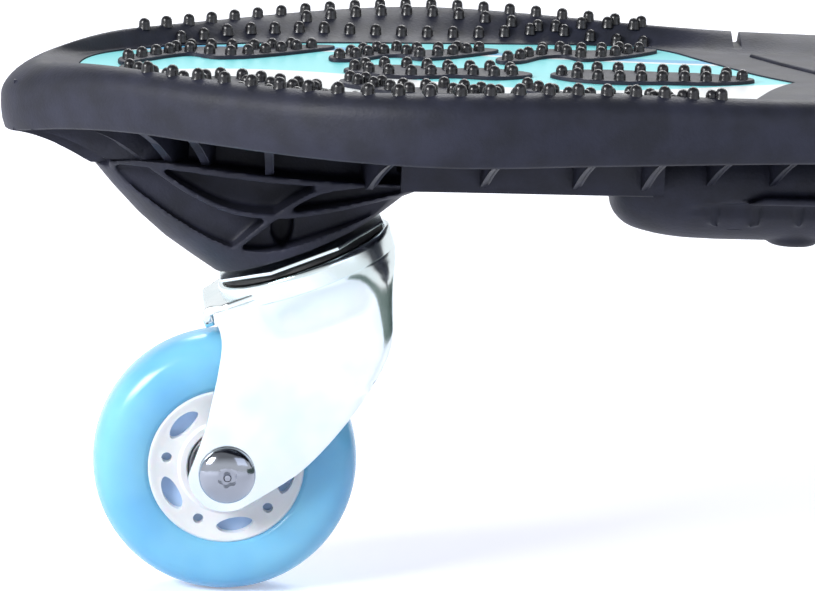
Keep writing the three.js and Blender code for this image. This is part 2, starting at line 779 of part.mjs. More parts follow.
function clampBolt(place) {
  const head = bossLow + clampHeadHeight;
  const bolt = turned([
    [0, bossLow], [clampHeadRadius * clampCrownShare, bossLow], [clampHeadRadius, head - clampHeadHeight / 2],
    [clampHeadRadius, head], [clampRadius, head], [clampRadius, clampTip], [0, clampTip],
  ], ringFacets);
  bolt.translate(place, 0, 0);
  return bolt;
}

const torsionTube = solidOf(alongX(tube(tubeBore, tubeRadius, tubeStart, tubeStop, pipeFacets), tubeHeight));
addPiece(board, 'torsion_tube', torsionTube.subtract(clampHole(-blockPlace)), zincSteel);
addPiece(board, 'front_bar_block', barBlock(-blockPlace, tubeBore - gap), bearingSteel);
addPiece(board, 'rear_bar_block', barBlock(blockPlace, tubeRadius + bushThickness + gap), bearingSteel);
addPiece(board, 'front_clamp_bolt', clampBolt(-blockPlace), zincSteel);
addPiece(board, 'rear_clamp_bolt', clampBolt(blockPlace), zincSteel);
const torsionBar = new THREE.BoxGeometry(2 * blockPlace + barBlockLength, barWidth, barThickness);
torsionBar.translate(0, 0, tubeHeight);
addPiece(board, 'torsion_bar', torsionBar, springSteel);
const bushStarts = [middleGap / 2 + bushInset, tubeStop - bushInset - bushLength];
['middle_bush', 'inner_bush'].forEach((name, i) => {
  const bore = tubeRadius + gap;
  const bush = tube(bore, bore + bushThickness, bushStarts[i], bushStarts[i] + bushLength, pipeFacets);
  addPiece(board, name, alongX(bush, tubeHeight), bushNylon);
});
const ringHalf = middleGap / 2 - gap;
const middleRing = tube(tubeRadius + gap, middleRingRadius, -ringHalf, ringHalf, pipeFacets);
addPiece(board, 'middle_ring', alongX(middleRing, tubeHeight), sealRubber);

// Heights along the kingpin, downward from the middle of the mounting plate
const plateLow = -mountPlateThickness / 2;
const crownTop = plateLow - upperBallSize - 2 * gap;
const crownLow = crownTop - crownThickness;
const raceTop = crownLow - lowerBallSize - 2 * gap;
const raceLow = raceTop - lowerRaceThickness;
const headTop = raceLow - gap;
const legOuterHalf = legInnerHalf + legThickness;

function arc(centreX, centreZ, radius, start, end, steps) {
  return Array.from({ length: steps + 1 }, (_, i) => {
    const angle = start + (end - start) * i / steps;
    return [centreX + radius * Math.cos(angle), centreZ + radius * Math.sin(angle)];
  });
}

// The pressed fork: crown with a rear lip, two legs and a front web
function fork() {
  const place = ([x, z]) => [x * casterTrail, z * casterDrop];
  const front = legFrontShares.map(place);
  const [footStart, footEnd] = legFootTurnShares.map((share) => share * Math.PI);
  const foot = arc(-casterTrail, -casterDrop, legFootRadius, footStart, footEnd, octagonFacets);
  const outline = [
    [legFrontTopShare * casterTrail, crownTop], ...front, ...foot, ...legRearShares.map(place),
    [legRearShares.at(-1)[0] * casterTrail, crownTop],
  ];
  const legs = solidOf(sideSlab(outline, -legOuterHalf, legOuterHalf));
  const webLow = webEndShare * casterDrop;
  const deep = -casterDrop - legFootRadius - overrun;
  const innerFront = [
    [legFrontTopShare * casterTrail - legThickness, crownLow],
    ...front.filter(([, z]) => z > webLow && z < crownLow).map(([x, z]) => [x - legThickness, z]),
  ];
  const rear = -casterTrail - legFootRadius - overrun;
  const inner = [
    ...innerFront, [crownRadius + overrun, webLow], [crownRadius + overrun, deep],
    [rear, deep], [rear, crownLow],
  ];
  const hollow = solidOf(sideSlab(inner, -legInnerHalf, legInnerHalf));
  const axleHole = alongY(rod(axleRadius + gap, -legOuterHalf - overrun, legOuterHalf + overrun, pinFacets));
  axleHole.translate(-casterTrail, 0, -casterDrop);
  const crown = rod(crownRadius, crownLow, crownTop, discFacets);
  const lip = new THREE.BoxGeometry(crownLip, crownLipWidth, crownThickness);
  lip.translate(-crownLip / 2, 0, (crownLow + crownTop) / 2);
  const lipTurn = new THREE.BoxGeometry(crownThickness, crownLipWidth, crownLipDrop);
  lipTurn.translate(crownThickness / 2 - crownLip, 0, crownTop - crownLipDrop / 2);
  const centreHole = rod(crownHole, crownLow - overrun, crownTop + overrun, ringFacets);
  return joined([legs.subtract(hollow), solidOf(crown), solidOf(lip), solidOf(lipTurn)])
    .subtract(joined([solidOf(axleHole), solidOf(centreHole)]));
}

function kingpin() {
  const shank = solidOf(rod(kingpinRadius, headTop - gap, kingpinReach, pinFacets));
  const head = solidOf(rod(kingpinHeadRadius, headTop - kingpinHeadHeight, headTop, hexFacets));
  return shank.add(head);
}

function insert() {
  const low = insertDepth + gap;
  return tube(kingpinRadius + gap, insertRadius, low, low + insertLength, pinFacets);
}

function axleBolt() {
  const headLow = legOuterHalf + gap;
  const headHigh = headLow + axleHeadHeight;
  const tip = -headLow - axleNutHeight - axleTip;
  const crown = buttonHeadShares.map(([reach, fall]) => (
    [axleHeadRadius * reach, headHigh - axleHeadHeight * fall]
  ));
  const bolt = turned([
    [0, headHigh], ...crown, [axleHeadRadius, headLow], [axleRadius, headLow], [axleRadius, tip], [0, tip],
  ], pinFacets);
  const socket = rod(axleSocketRadius, headHigh - axleSocketDepth, headHigh + overrun, hexFacets);
  return geometryOf(solidOf(bolt).subtract(solidOf(socket)));
}

function axleNut() {
  const low = -legOuterHalf - gap - axleNutHeight;
  const hex = solidOf(rod(axleNutRadius, low, low + axleNutHeight, hexFacets));
  return geometryOf(hex.subtract(solidOf(rod(axleRadius + gap, low - overrun, 0, ringFacets))));
}

function tyre() {
  const half = wheelWidth / 2;
  const edge = wheelRadius - tyreSideRound;
  const bore = hubRadius + gap;
  const upper = arc(edge, half - tyreSideRound, tyreSideRound, Math.PI / 2, 0, 3);
  const lower = upper.map(([r, h]) => [r, -h]).reverse();
  return turned([[bore, -half + hubRecess], [bore, half - hubRecess], ...upper, ...lower], tyreFacets);
}

// The nylon hub: rim, web with windows and eyes, and a barrel that seats the bearings
function hub() {
  const half = wheelWidth / 2;
  const seat = half - bearingWidth - gap;
  const webHalf = half - hubRecess;
  const body = solidOf(turned([
    [bearingRadius, half], [hubBarrelRadius, half], [hubBarrelRadius, webHalf], [hubRadius, webHalf],
    [hubRadius, -webHalf], [hubBarrelRadius, -webHalf], [hubBarrelRadius, -half], [bearingRadius, -half],
    [bearingRadius, -seat], [hubShoulderRadius, -seat], [hubShoulderRadius, seat], [bearingRadius, seat],
  ], discFacets));
  const step = 2 * Math.PI / hubWindowCount;
  const cuts = [];
  for (let i = 0; i < hubWindowCount; i += 1) {
    const middle = hubTurn + i * step;
    const outerHalf = hubWindowHalfAngle * hubWindowTaperShare;
    const window = [
      ...arc(0, 0, hubWindowInner, middle - hubWindowHalfAngle, middle + hubWindowHalfAngle, 2),
      ...arc(0, 0, hubRimInner, middle + outerHalf, middle - outerHalf, 2),
    ];
    const eyeX = hubEyePlace * Math.cos(middle + step / 2);
    const eyeY = hubEyePlace * Math.sin(middle + step / 2);
    const eye = arc(eyeX, eyeY, hubEyeRadius, 0, 2 * Math.PI, hexFacets).slice(1);
    for (const outline of [window, eye]) {
      cuts.push(solidOf(slab(outline, webHalf - hubPocketDepth, half)));
      cuts.push(solidOf(slab(outline, -half, hubPocketDepth - webHalf)));
    }
  }
  return geometryOf(body.subtract(joined(cuts)));
}

// One caster with its kingpin axis along z, placed and leaned as a group
function addCaster(end, place) {
  const caster = new THREE.Group();
  caster.position.set(place, 0, plateHeight);
  caster.rotation.y = -swivelLean;
  board.add(caster);
  const halfFacet = Math.PI / octagonFacets;
  const plate = solidOf(rod(mountPlateSize / 2 / Math.cos(halfFacet), plateLow, -plateLow, octagonFacets));
  const plateHole = rod(kingpinRadius + gap, plateLow - overrun, overrun - plateLow, ringFacets);
  const plateGeometry = geometryOf(plate.subtract(solidOf(plateHole)));
  plateGeometry.rotateZ(halfFacet);
  addPiece(caster, `${end}_mounting_plate`, plateGeometry, zincSteel);
  const upperHeight = plateLow - gap - upperBallSize / 2;
  const upperBalls = roundRing(upperBallRadius, upperBallSize, upperHeight, ringFacets);
  addPiece(caster, `${end}_upper_ball_ring`, upperBalls, bearingSteel);
  const seal = tube(sealRadius - sealWidth, sealRadius, crownTop + gap, plateLow - gap, discFacets);
  addPiece(caster, `${end}_dust_seal`, seal, sealRubber);
  addPiece(caster, `${end}_fork`, fork(), zincSteel);
  const lowerHeight = crownLow - gap - lowerBallSize / 2;
  const lowerBalls = roundRing(lowerBallRadius, lowerBallSize, lowerHeight, ringFacets);
  addPiece(caster, `${end}_lower_ball_ring`, lowerBalls, bearingSteel);
  const race = tube(kingpinRadius + gap, lowerRaceRadius, raceLow, raceTop, discFacets);
  addPiece(caster, `${end}_lower_race`, race, zincSteel);
  addPiece(caster, `${end}_kingpin`, kingpin(), bearingSteel);
  addPiece(caster, `${end}_insert`, insert(), brass);

  const wheel = new THREE.Group();
  wheel.position.set(-casterTrail, 0, -casterDrop);
  wheel.rotation.x = Math.PI / 2;
  caster.add(wheel);
  addPiece(wheel, `${end}_axle_bolt`, axleBolt(), zincSteel);
  addPiece(wheel, `${end}_axle_nut`, axleNut(), zincSteel);
  const half = wheelWidth / 2;
  const seat = half - bearingWidth;
  const spacer = tube(bearingBore, spacerRadius, gap - seat, seat - gap, pinFacets);
  addPiece(wheel, `${end}_axle_spacer`, spacer, bearingSteel);
  for (const [name, side] of [['near', 1], ['far', -1]]) {
    const span = (from, to) => [side * from, side * to].sort((a, b) => a - b);
    const bush = tube(bearingBore, bushRadius, ...span(half + gap, legInnerHalf - gap), pinFacets);
    addPiece(wheel, `${end}_${name}_axle_bush`, bush, springSteel);
    const inner = tube(bearingBore, bearingSplit - gap, ...span(seat, half), ringFacets);
    addPiece(wheel, `${end}_${name}_bearing_inner`, inner, bearingSteel);
    const outer = tube(bearingSplit, bearingRadius - gap, ...span(seat, half), ringFacets);
    addPiece(wheel, `${end}_${name}_bearing_outer`, outer, bearingSteel);
  }
  addPiece(wheel, `${end}_hub`, hub(), hubNylon);
  addPiece(wheel, `${end}_tyre`, tyre(), tyrePlastic);
}

addCaster('front', kingpinPlace - halfLength);
addCaster('rear', halfLength - kingpinPlace);

export default board;
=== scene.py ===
import json
import math
import bmesh
import bpy
from mathutils import Matrix, Vector
from mathutils.bvhtree import BVHTree

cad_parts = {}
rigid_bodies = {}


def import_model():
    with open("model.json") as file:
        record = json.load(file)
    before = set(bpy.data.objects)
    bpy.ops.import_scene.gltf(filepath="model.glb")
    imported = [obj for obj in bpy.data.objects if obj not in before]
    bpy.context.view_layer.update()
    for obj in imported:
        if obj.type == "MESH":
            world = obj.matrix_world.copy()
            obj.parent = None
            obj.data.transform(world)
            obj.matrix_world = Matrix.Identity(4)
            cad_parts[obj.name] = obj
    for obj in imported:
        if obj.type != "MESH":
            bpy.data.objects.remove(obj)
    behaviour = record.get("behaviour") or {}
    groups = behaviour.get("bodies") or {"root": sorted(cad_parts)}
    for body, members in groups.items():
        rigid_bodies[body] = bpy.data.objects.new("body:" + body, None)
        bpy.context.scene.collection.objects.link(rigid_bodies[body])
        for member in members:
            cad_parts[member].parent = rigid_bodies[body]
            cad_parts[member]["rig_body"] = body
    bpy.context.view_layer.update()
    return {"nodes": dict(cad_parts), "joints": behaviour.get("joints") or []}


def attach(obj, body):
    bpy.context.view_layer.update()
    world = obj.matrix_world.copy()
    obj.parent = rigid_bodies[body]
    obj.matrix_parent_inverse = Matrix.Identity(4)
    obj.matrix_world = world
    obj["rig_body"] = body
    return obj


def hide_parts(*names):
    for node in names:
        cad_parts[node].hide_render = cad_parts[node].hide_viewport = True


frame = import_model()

# Two-wheel caster board: black moulded decks with grip studs, blue cast wheels, bright forks.
# Shapes are worked out in millimetres along one deck and made metres at the end.
# A place along a deck is its distance from the deck's free end.
mm = 0.001
joints = {joint["name"]: joint for joint in frame["joints"]}


# Meshes and objects

def meshOf(name, bm):
    mesh = bpy.data.meshes.new(name)
    bm.to_mesh(mesh)
    bm.free()
    return mesh

def placed(name, data):
    item = bpy.data.objects.new(name, data)
    bpy.context.scene.collection.objects.link(item)
    return item


# Camera

camera = {
    "place": (-315.73, -1039.86, 297.6), "pitch": 11.42, "yaw": 4.94, "roll": 0.0372,
    "lens": 163.51, "sensor": 36, "clipEnd": 20,
}

def makeCamera():
    data = bpy.data.cameras.new("camera")
    data.lens = camera["lens"]
    data.sensor_width = camera["sensor"]
    data.clip_end = camera["clipEnd"]
    aim = Matrix.Rotation(math.radians(-camera["yaw"]), 4, "Z")
    aim = aim @ Matrix.Rotation(math.radians(90 - camera["pitch"]), 4, "X")
    aim = aim @ Matrix.Rotation(camera["roll"], 4, "Z")
    seen = placed("camera", data)
    seen.matrix_world = Matrix.Translation(Vector(camera["place"]) * mm) @ aim
    bpy.context.scene.camera = seen

makeCamera()
bpy.context.scene.view_settings.view_transform = "Standard"
print("camera set")


# Nodes and colours

def linear(hexText):
    shares = [int(hexText[i:i + 2], 16) / 255 for i in (1, 3, 5)]
    return tuple(s / 12.92 if s <= 0.04045 else ((s + 0.055) / 1.055) ** 2.4 for s in shares) + (1,)

def addNode(tree, kind, settings=None, links=None):
    node = tree.nodes.new(kind)
    for key, value in (settings or {}).items():
        if isinstance(key, int) or key in node.inputs:
            node.inputs[key].default_value = value
        else:
            setattr(node, key, value)
    for key, source in (links or {}).items():
        tree.links.new(source, node.inputs[key])
    return node

def clearTree(owner):
    owner.use_nodes = True
    owner.node_tree.nodes.clear()
    return owner.node_tree

def newMaterial(name, shaderSettings):
    material = bpy.data.materials.new(name)
    tree = clearTree(material)
    shader = addNode(tree, "ShaderNodeBsdfPrincipled", shaderSettings)
    addNode(tree, "ShaderNodeOutputMaterial", links={"Surface": shader.outputs["BSDF"]})
    place = addNode(tree, "ShaderNodeTexCoord").outputs["Object"]
    return material, tree, shader, place

# Noise whose grains are about grain millimetres across, spread over two colours
def mottle(tree, shader, place, grain, low, high, detail=3):
    settings = {"Scale": 1 / (grain * mm), "Detail": detail}
    noise = addNode(tree, "ShaderNodeTexNoise", settings, {"Vector": place})
    ramp = addNode(tree, "ShaderNodeValToRGB", links={"Fac": noise.outputs["Fac"]})
    for stop, position, colour in zip(ramp.color_ramp.elements, (0.35, 0.65), (low, high)):
        stop.position = position
        stop.color = linear(colour)
    tree.links.new(ramp.outputs["Color"], shader.inputs["Base Color"])

def roughnessRange(tree, shader, place, grain, low, high):
    noise = addNode(tree, "ShaderNodeTexNoise", {"Scale": 1 / (grain * mm), "Detail": 4}, {"Vector": place})
    settings = {"To Min": low, "To Max": high}
    span = addNode(tree, "ShaderNodeMapRange", settings, {"Value": noise.outputs["Fac"]})
    tree.links.new(span.outputs["Result"], shader.inputs["Roughness"])

def grainBump(tree, shader, place, grain, depth, detail=2):
    settings = {"Scale": 1 / (grain * mm), "Detail": detail}
    noise = addNode(tree, "ShaderNodeTexNoise", settings, {"Vector": place})
    links = {"Height": noise.outputs["Fac"]}
    bump = addNode(tree, "ShaderNodeBump", {"Distance": depth * mm, "Strength": 1}, links)
    tree.links.new(bump.outputs["Normal"], shader.inputs["Normal"])

# One finish: shader settings, range of roughness, and a mottle and a bump where the real surface has them
def surface(name, settings, rough, mottled=(), bump=()):
    material, tree, shader, place = newMaterial(name, settings)
    if mottled:
        mottle(tree, shader, place, *mottled)
    roughnessRange(tree, shader, place, *rough)
    if bump:
        grainBump(tree, shader, place, *bump)
    return material


# Materials

# Each band starts at a wavy line: offset and swing in millimetres, waves in radians for each metre, phase
film = {
    "base": "#F4F8F8", "edge": 0.15, "grain": (1.4, 0.012),
    "bands": [
        ("#7FE8EC", -11, 13, 36, -1.2), ("#F4F8F8", 38, 5, 30, 2.2), ("#63B9E4", 41, 5, 30, 2.2),
        ("#7FE8EC", 48, 5, 30, 2.6),
    ],
}

# Printed polycarbonate film: flat, even inks under a clear satin face
def printedFilm():
    material, tree, shader, place = newMaterial("printedFilm", {"IOR": 1.58, "Roughness": 0.32})
    apart = addNode(tree, "ShaderNodeSeparateXYZ", links={"Vector": place})

    def lineAt(offset, swing, wave, phase):
        settings = {"operation": "MULTIPLY_ADD", 1: wave, 2: phase}
        turn = addNode(tree, "ShaderNodeMath", settings, {0: apart.outputs["X"]})
        curve = addNode(tree, "ShaderNodeMath", {"operation": "SINE"}, {0: turn.outputs[0]})
        settings = {"operation": "MULTIPLY_ADD", 1: swing * mm, 2: offset * mm}
        return addNode(tree, "ShaderNodeMath", settings, {0: curve.outputs[0]}).outputs[0]

    def beyond(line):
        gap = addNode(tree, "ShaderNodeMath", {"operation": "SUBTRACT"}, {0: apart.outputs["Y"], 1: line})
        settings = {"From Min": -film["edge"] * mm, "From Max": film["edge"] * mm}
        return addNode(tree, "ShaderNodeMapRange", settings, {"Value": gap.outputs[0]}).outputs[0]

    ink = None
    for over, *line in film["bands"]:
        settings = {"data_type": "RGBA", 7: linear(over)}
        links = {0: beyond(lineAt(*line))}
        if ink:
            links[6] = ink
        else:
            settings[6] = linear(film["base"])
        ink = addNode(tree, "ShaderNodeMix", settings, links).outputs[2]
    tree.links.new(ink, shader.inputs["Base Color"])
    grainBump(tree, shader, place, *film["grain"])
    return material

# Grains and depths are in millimetres
finish = {
    # Spark-eroded mould texture on glass-filled nylon: dark graphite with a fine grain and broad highlights
    "moulding": surface("grainedNylon", {"IOR": 1.53, "Specular IOR Level": 0.3}, (14, 0.46, 0.62),
                        (9, "#20222D", "#2B2D3C", 5), (0.9, 0.09)),
    # The same nylon from a smoother mould face, on studs: nearly black, with small sharp glints
    "grip": surface("polishedNylon", {"IOR": 1.53}, (6, 0.2, 0.34), (5, "#121216", "#1C1C22"), (0.8, 0.02)),
    "inlay": printedFilm(),
    # Bright zinc plate with a clear passivate on pressed steel: mirror-like, faintly blue, with soft ripples
    "zinc": surface("zincPlate", {"Metallic": 1}, (11, 0.13, 0.22),
                    (16, "#E2EFF2", "#F3FAFB", 2), (7, 0.06, 1)),
    # Nickel-plated button bolt: a darker mirror with fine turning marks
    "bolt": surface("nickelPlate", {"Metallic": 1, "Base Color": linear("#A3A8B3")}, (4, 0.08, 0.16),
                    bump=(0.7, 0.012)),
    # Ground bearing steel: grey, with the faint swirl of grinding
    "steel": surface("groundSteel", {"Metallic": 1, "Base Color": linear("#9A9CA2")}, (2, 0.16, 0.3),
                     bump=(0.6, 0.015)),
    # Oil-blackened spring steel: dark, slightly uneven oxide
    "spring": surface("oiledSpringSteel", {"Metallic": 1}, (5, 0.3, 0.46), (6, "#3A3B40", "#5A5B60")),
    # Turned brass: yellow metal with fine tool marks
    "brass": surface("turnedBrass", {"Metallic": 1, "Base Color": linear("#C6A35B")}, (2, 0.24, 0.38)),
    # Unfilled moulded nylon: an off-white that lets a little light in
    "nylon": surface("naturalNylon", {"IOR": 1.53, "Subsurface Weight": 0.25, "Subsurface Scale": 1.5 * mm},
                     (7, 0.38, 0.5), (8, "#E6E4DA", "#EFEDE5")),
    # White moulded wheel core: clean white with a soft satin face
    "hub": surface("whiteNylon", {"IOR": 1.53, "Subsurface Weight": 0.2, "Subsurface Scale": 2 * mm},
                   (6, 0.3, 0.42), (10, "#F2F5F8", "#FAFCFD"), (1.2, 0.012)),
    # Moulded rubber: dull black with a dusty bloom
    "seal": surface("mouldedRubber", {"IOR": 1.52}, (4, 0.5, 0.7), (3, "#101012", "#1B1B1E"), (0.7, 0.03)),
}

# Cast polyurethane: glossy sky blue, with light carried under the skin. The urethane filling seen in the hub
# windows is paler and bluer, and that colour is partly painted bluish shade for the deep window recesses
urethane = {
    "IOR": 1.5, "Subsurface Weight": 0.35, "Subsurface Scale": 5 * mm, "Subsurface Radius": (0.5, 0.9, 1),
}
for slot, name, dark, pale in (
    ("tyre", "castUrethane", "#7AC8F6", "#8AD5FA"), ("core", "paleUrethaneWithPaintedShade", "#A9C9F4", "#B9D5F8"),
):
    finish[slot] = surface(name, urethane, (12, 0.17, 0.26), (22, dark, pale, 2), (2.5, 0.012))
print("materials made:", len(finish))


# Mesh tools

def pairsOf(items, closed):
    return zip(items, items[1:] + items[:1] if closed else items[1:])

# Draws one ring or row of points, then extrudes its edges from one set of places to the next
def skin(bm, rows, closed=True):
    station = bm.verts.layers.int.get("station") or bm.verts.layers.int.new("station")
    first = [bm.verts.new(point) for point in rows[0]]
    for number, vert in enumerate(first):
        vert[station] = number
    start = [bm.edges.new(pair) for pair in pairsOf(first, closed)]
    edges = start
    for row in rows[1:]:
        made = bmesh.ops.extrude_edge_only(bm, edges=edges)["geom"]
        fresh = {item for item in made if isinstance(item, bmesh.types.BMVert)}
        for vert in fresh:
            vert.co = row[vert[station]]
        lines = [item for item in made if isinstance(item, bmesh.types.BMEdge)]
        edges = [line for line in lines if fresh.issuperset(line.verts)]
    return start, edges

def cap(bm, edges):
    return bmesh.ops.contextual_create(bm, geom=edges)["faces"]

# A profile of radius and height turned about z, closed on itself unless it meets the axis
def turned(profile, steps=64):
    bm = bmesh.new()
    verts = [bm.verts.new((radius, 0, height)) for radius, height in profile]
    edges = [bm.edges.new(pair) for pair in pairsOf(verts, min(profile)[0] > 0)]
    settings = {"cent": (0, 0, 0), "axis": (0, 0, 1), "angle": math.tau, "steps": steps, "use_merge": True}
    bmesh.ops.spin(bm, geom=verts + edges, **settings)
    return clean(bm)

def clean(bm, reach=0.003):
    bmesh.ops.remove_doubles(bm, verts=bm.verts, dist=reach)
    loose = [face for face in bm.faces if face.calc_area() < 1e-9]
    bmesh.ops.delete(bm, geom=loose, context="FACES_ONLY")
    bmesh.ops.recalc_face_normals(bm, faces=bm.faces)
    return bm

def tube(inner, outer, near, far, round=0.4, steps=64):
    low, high = sorted((near, far))
    profile = [
        (inner, low + round), (inner + round, low), (outer - round, low), (outer, low + round),
        (outer, high - round), (outer - round, high), (inner + round, high), (inner, high - round),
    ]
    return turned(profile, steps)

def arc(centreX, centreZ, radius, start, end, steps):
    angles = [math.radians(start + (end - start) * i / steps) for i in range(steps + 1)]
    return [(centreX + radius * math.cos(a), centreZ + radius * math.sin(a)) for a in angles]

def polygon(radius, corners, shift=0):
    return arc(0, 0, radius, 360 / corners * shift, 360 / corners * (corners - 1 + shift), corners - 1)

def rectangle(left, low, right, high):
    return [(left, low), (right, low), (right, high), (left, high)]

# A flat outline in x and y, raised between two heights
def slab(outline, near, far):
    low, high = sorted((near, far))
    bm = bmesh.new()
    face = bm.faces.new([bm.verts.new((x, y, low)) for x, y in outline])
    made = bmesh.ops.extrude_face_region(bm, geom=[face])["geom"]
    top = [item for item in made if isinstance(item, bmesh.types.BMVert)]
    bmesh.ops.translate(bm, verts=top, vec=(0, 0, high - low))
    bmesh.ops.recalc_face_normals(bm, faces=bm.faces)
    return bm

# A side view outline, x and z, drawn out from one y to another
def sideSlab(outline, near, far):
    bm = slab(outline, -near, -far)
    bm.transform(Matrix.Rotation(math.pi / 2, 4, "X"))
    return bm

# A bent strip of even width along points in a side view
def strip(line, width):
    left, right = [], []
    for i, point in enumerate(line):
        before, after = line[max(i - 1, 0)], line[min(i + 1, len(line) - 1)]
        along = (Vector(after) - Vector(before)).normalized()
        side = Vector((-along.y, along.x)) * width / 2
        left.append(Vector(point) + side)
        right.insert(0, Vector(point) - side)
    return left + right

def bevelEdges(bm, edges, width, segments=2):
    settings = {"offset": width, "segments": segments, "profile": 0.5, "affect": "EDGES", "material": -1}
    bmesh.ops.bevel(bm, geom=edges, clamp_overlap=True, **settings)

def sharpEdges(bm, degrees=40):
    limit = math.radians(degrees)
    return [edge for edge in bm.edges if len(edge.link_faces) == 2 and edge.calc_face_angle() > limit]

def join(parts):
    whole = bmesh.new()
    for part in parts:
        mesh = meshOf("part", part)
        whole.from_mesh(mesh)
        bpy.data.meshes.remove(mesh)
    return whole

# Runs modifiers on a mesh and gives back the result
def shaped(bm, modifiers, cutters=(), operation="DIFFERENCE"):
    work = placed("work", meshOf("work", bm))
    helpers = [placed("cutter", meshOf("cutter", cutter)) for cutter in cutters]
    for helper in helpers:
        modifier = work.modifiers.new("cut", "BOOLEAN")
        modifier.operation = operation
        modifier.solver = "EXACT"
        modifier.object = helper
    for kind, settings in modifiers:
        modifier = work.modifiers.new(kind, kind)
        for key, value in settings.items():
            setattr(modifier, key, value)
    bpy.context.view_layer.update()
    result = bpy.data.meshes.new_from_object(work.evaluated_get(bpy.context.evaluated_depsgraph_get()))
    made = bmesh.new()
    made.from_mesh(result)
    bpy.data.meshes.remove(result)
    for item in [work] + helpers:
        used = item.data
        bpy.data.objects.remove(item)
        bpy.data.meshes.remove(used)
    return made

def cut(bm, cutters):
    return shaped(bm, [], cutters)

def common(bm, other):
    return shaped(bm, [], [other], "INTERSECT")

# A modifier that rounds every edge sharper than some degrees
def rounding(width, segments, degrees):
    limit = math.radians(degrees)
    return "BEVEL", {"width": width, "segments": segments, "limit_method": "ANGLE", "angle_limit": limit}

# Melts joined solids into one moulded skin with soft inner and outer corners
def melted(bm, voxel, passes):
    remesh = ("REMESH", {"mode": "VOXEL", "voxel_size": voxel, "adaptivity": 0})
    smooth = ("SMOOTH", {"factor": 0.5, "iterations": passes})
    return shaped(bm, [remesh, smooth])

# A finished piece. It rides on the body of the CAD node that it stands for, unless a body is given.
def newPiece(name, bm, slot, nodes=(), place=None, body=None, look=None, sharp=38):
    if place is not None:
        bm.transform(place)
    bm.transform(Matrix.Scale(mm, 4))
    mesh = meshOf(name, bm)
    mesh.materials.append(finish[look or slot])
    mesh.shade_smooth()
    mesh.set_sharp_from_angle(angle=math.radians(sharp))
    piece = placed(name, mesh)
    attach(piece, body or frame["nodes"][nodes[0]]["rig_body"])
    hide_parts(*nodes)

def smoothStep(share):
    share = min(max(share, 0), 1)
    return share * share * (3 - 2 * share)

# Smooth curve through points, by centripetal spacing, with steps points to each span
def curveThrough(points, steps):
    points = [Vector(point) for point in points]
    padded = [points[0] * 2 - points[1]] + points + [points[-1] * 2 - points[-2]]
    made = []
    for p, q, r, s in zip(padded, padded[1:], padded[2:], padded[3:]):
        a, b, c = [max((v - u).length, 1e-6) ** 0.5 for u, v in ((p, q), (q, r), (r, s))]
        startSlope = ((q - p) / a - (r - p) / (a + b) + (r - q) / b) * b
        endSlope = ((r - q) / b - (s - q) / (b + c) + (s - r) / c) * b
        for i in range(steps):
            t = i / steps
            made.append(
                q * (2 * t ** 3 - 3 * t ** 2 + 1) + startSlope * (t ** 3 - 2 * t ** 2 + t)
                + r * (3 * t ** 2 - 2 * t ** 3) + endSlope * (t ** 3 - t ** 2)
            )
    made.append(points[-1])
    return made

# The same round a closed outline
def closedCurve(points, steps):
    around = curveThrough(points[-2:] + points + points[:2], steps)
    return around[2 * steps:(2 + len(points)) * steps]

# Even points along a line, by length
def evenly(points, count):
    points = [Vector(point) for point in points]
    lengths = [0]
    for a, b in zip(points, points[1:]):
        lengths.append(lengths[-1] + (b - a).length)
    made, i = [], 0
    for k in range(count):
        goal = lengths[-1] * k / (count - 1)
        while i < len(points) - 2 and lengths[i + 1] < goal:
            i += 1
        span = max(lengths[i + 1] - lengths[i], 1e-6)
        made.append(points[i].lerp(points[i + 1], (goal - lengths[i]) / span))
    return made


# Sizes shared by the pieces

board = {
    "length": 686, "width": 196, "middleGap": 10, "keelHeight": 46.4, "plateThickness": 3.4,
    "kingpinPlace": 85.5, "lean": math.radians(21.8), "drop": 51.8, "trail": 41.8,
}
halfLength = board["length"] / 2
deckLength = halfLength - board["middleGap"] / 2
plateHeight = joints["front_swivel"]["pos_m"][2] / mm
undersideHeight = plateHeight + board["keelHeight"]
plateauHeight = undersideHeight + board["plateThickness"]
tubeHeight = joints["deck_twist"]["pos_m"][2] / mm

ends = ["front", "rear"]
deckPlace = {
    "front": Matrix.Translation((-halfLength, 0, 0)),
    "rear": Matrix.Translation((halfLength, 0, 0)) @ Matrix.Rotation(math.pi, 4, "Z"),
}
casterPlace, keelPlace, wheelPlace = {}, {}, {}
for end in ends:
    pivot = Vector(joints[end + "_swivel"]["pos_m"]) / mm
    casterPlace[end] = Matrix.Translation(pivot) @ Matrix.Rotation(-board["lean"], 4, "Y")
    keelPlace[end] = Matrix.Translation((pivot.x - board["kingpinPlace"], 0, 0))
    axle = Matrix.Translation((-board["trail"], 0, -board["drop"])) @ Matrix.Rotation(math.pi / 2, 4, "X")
    wheelPlace[end] = casterPlace[end] @ axle


# Deck shell

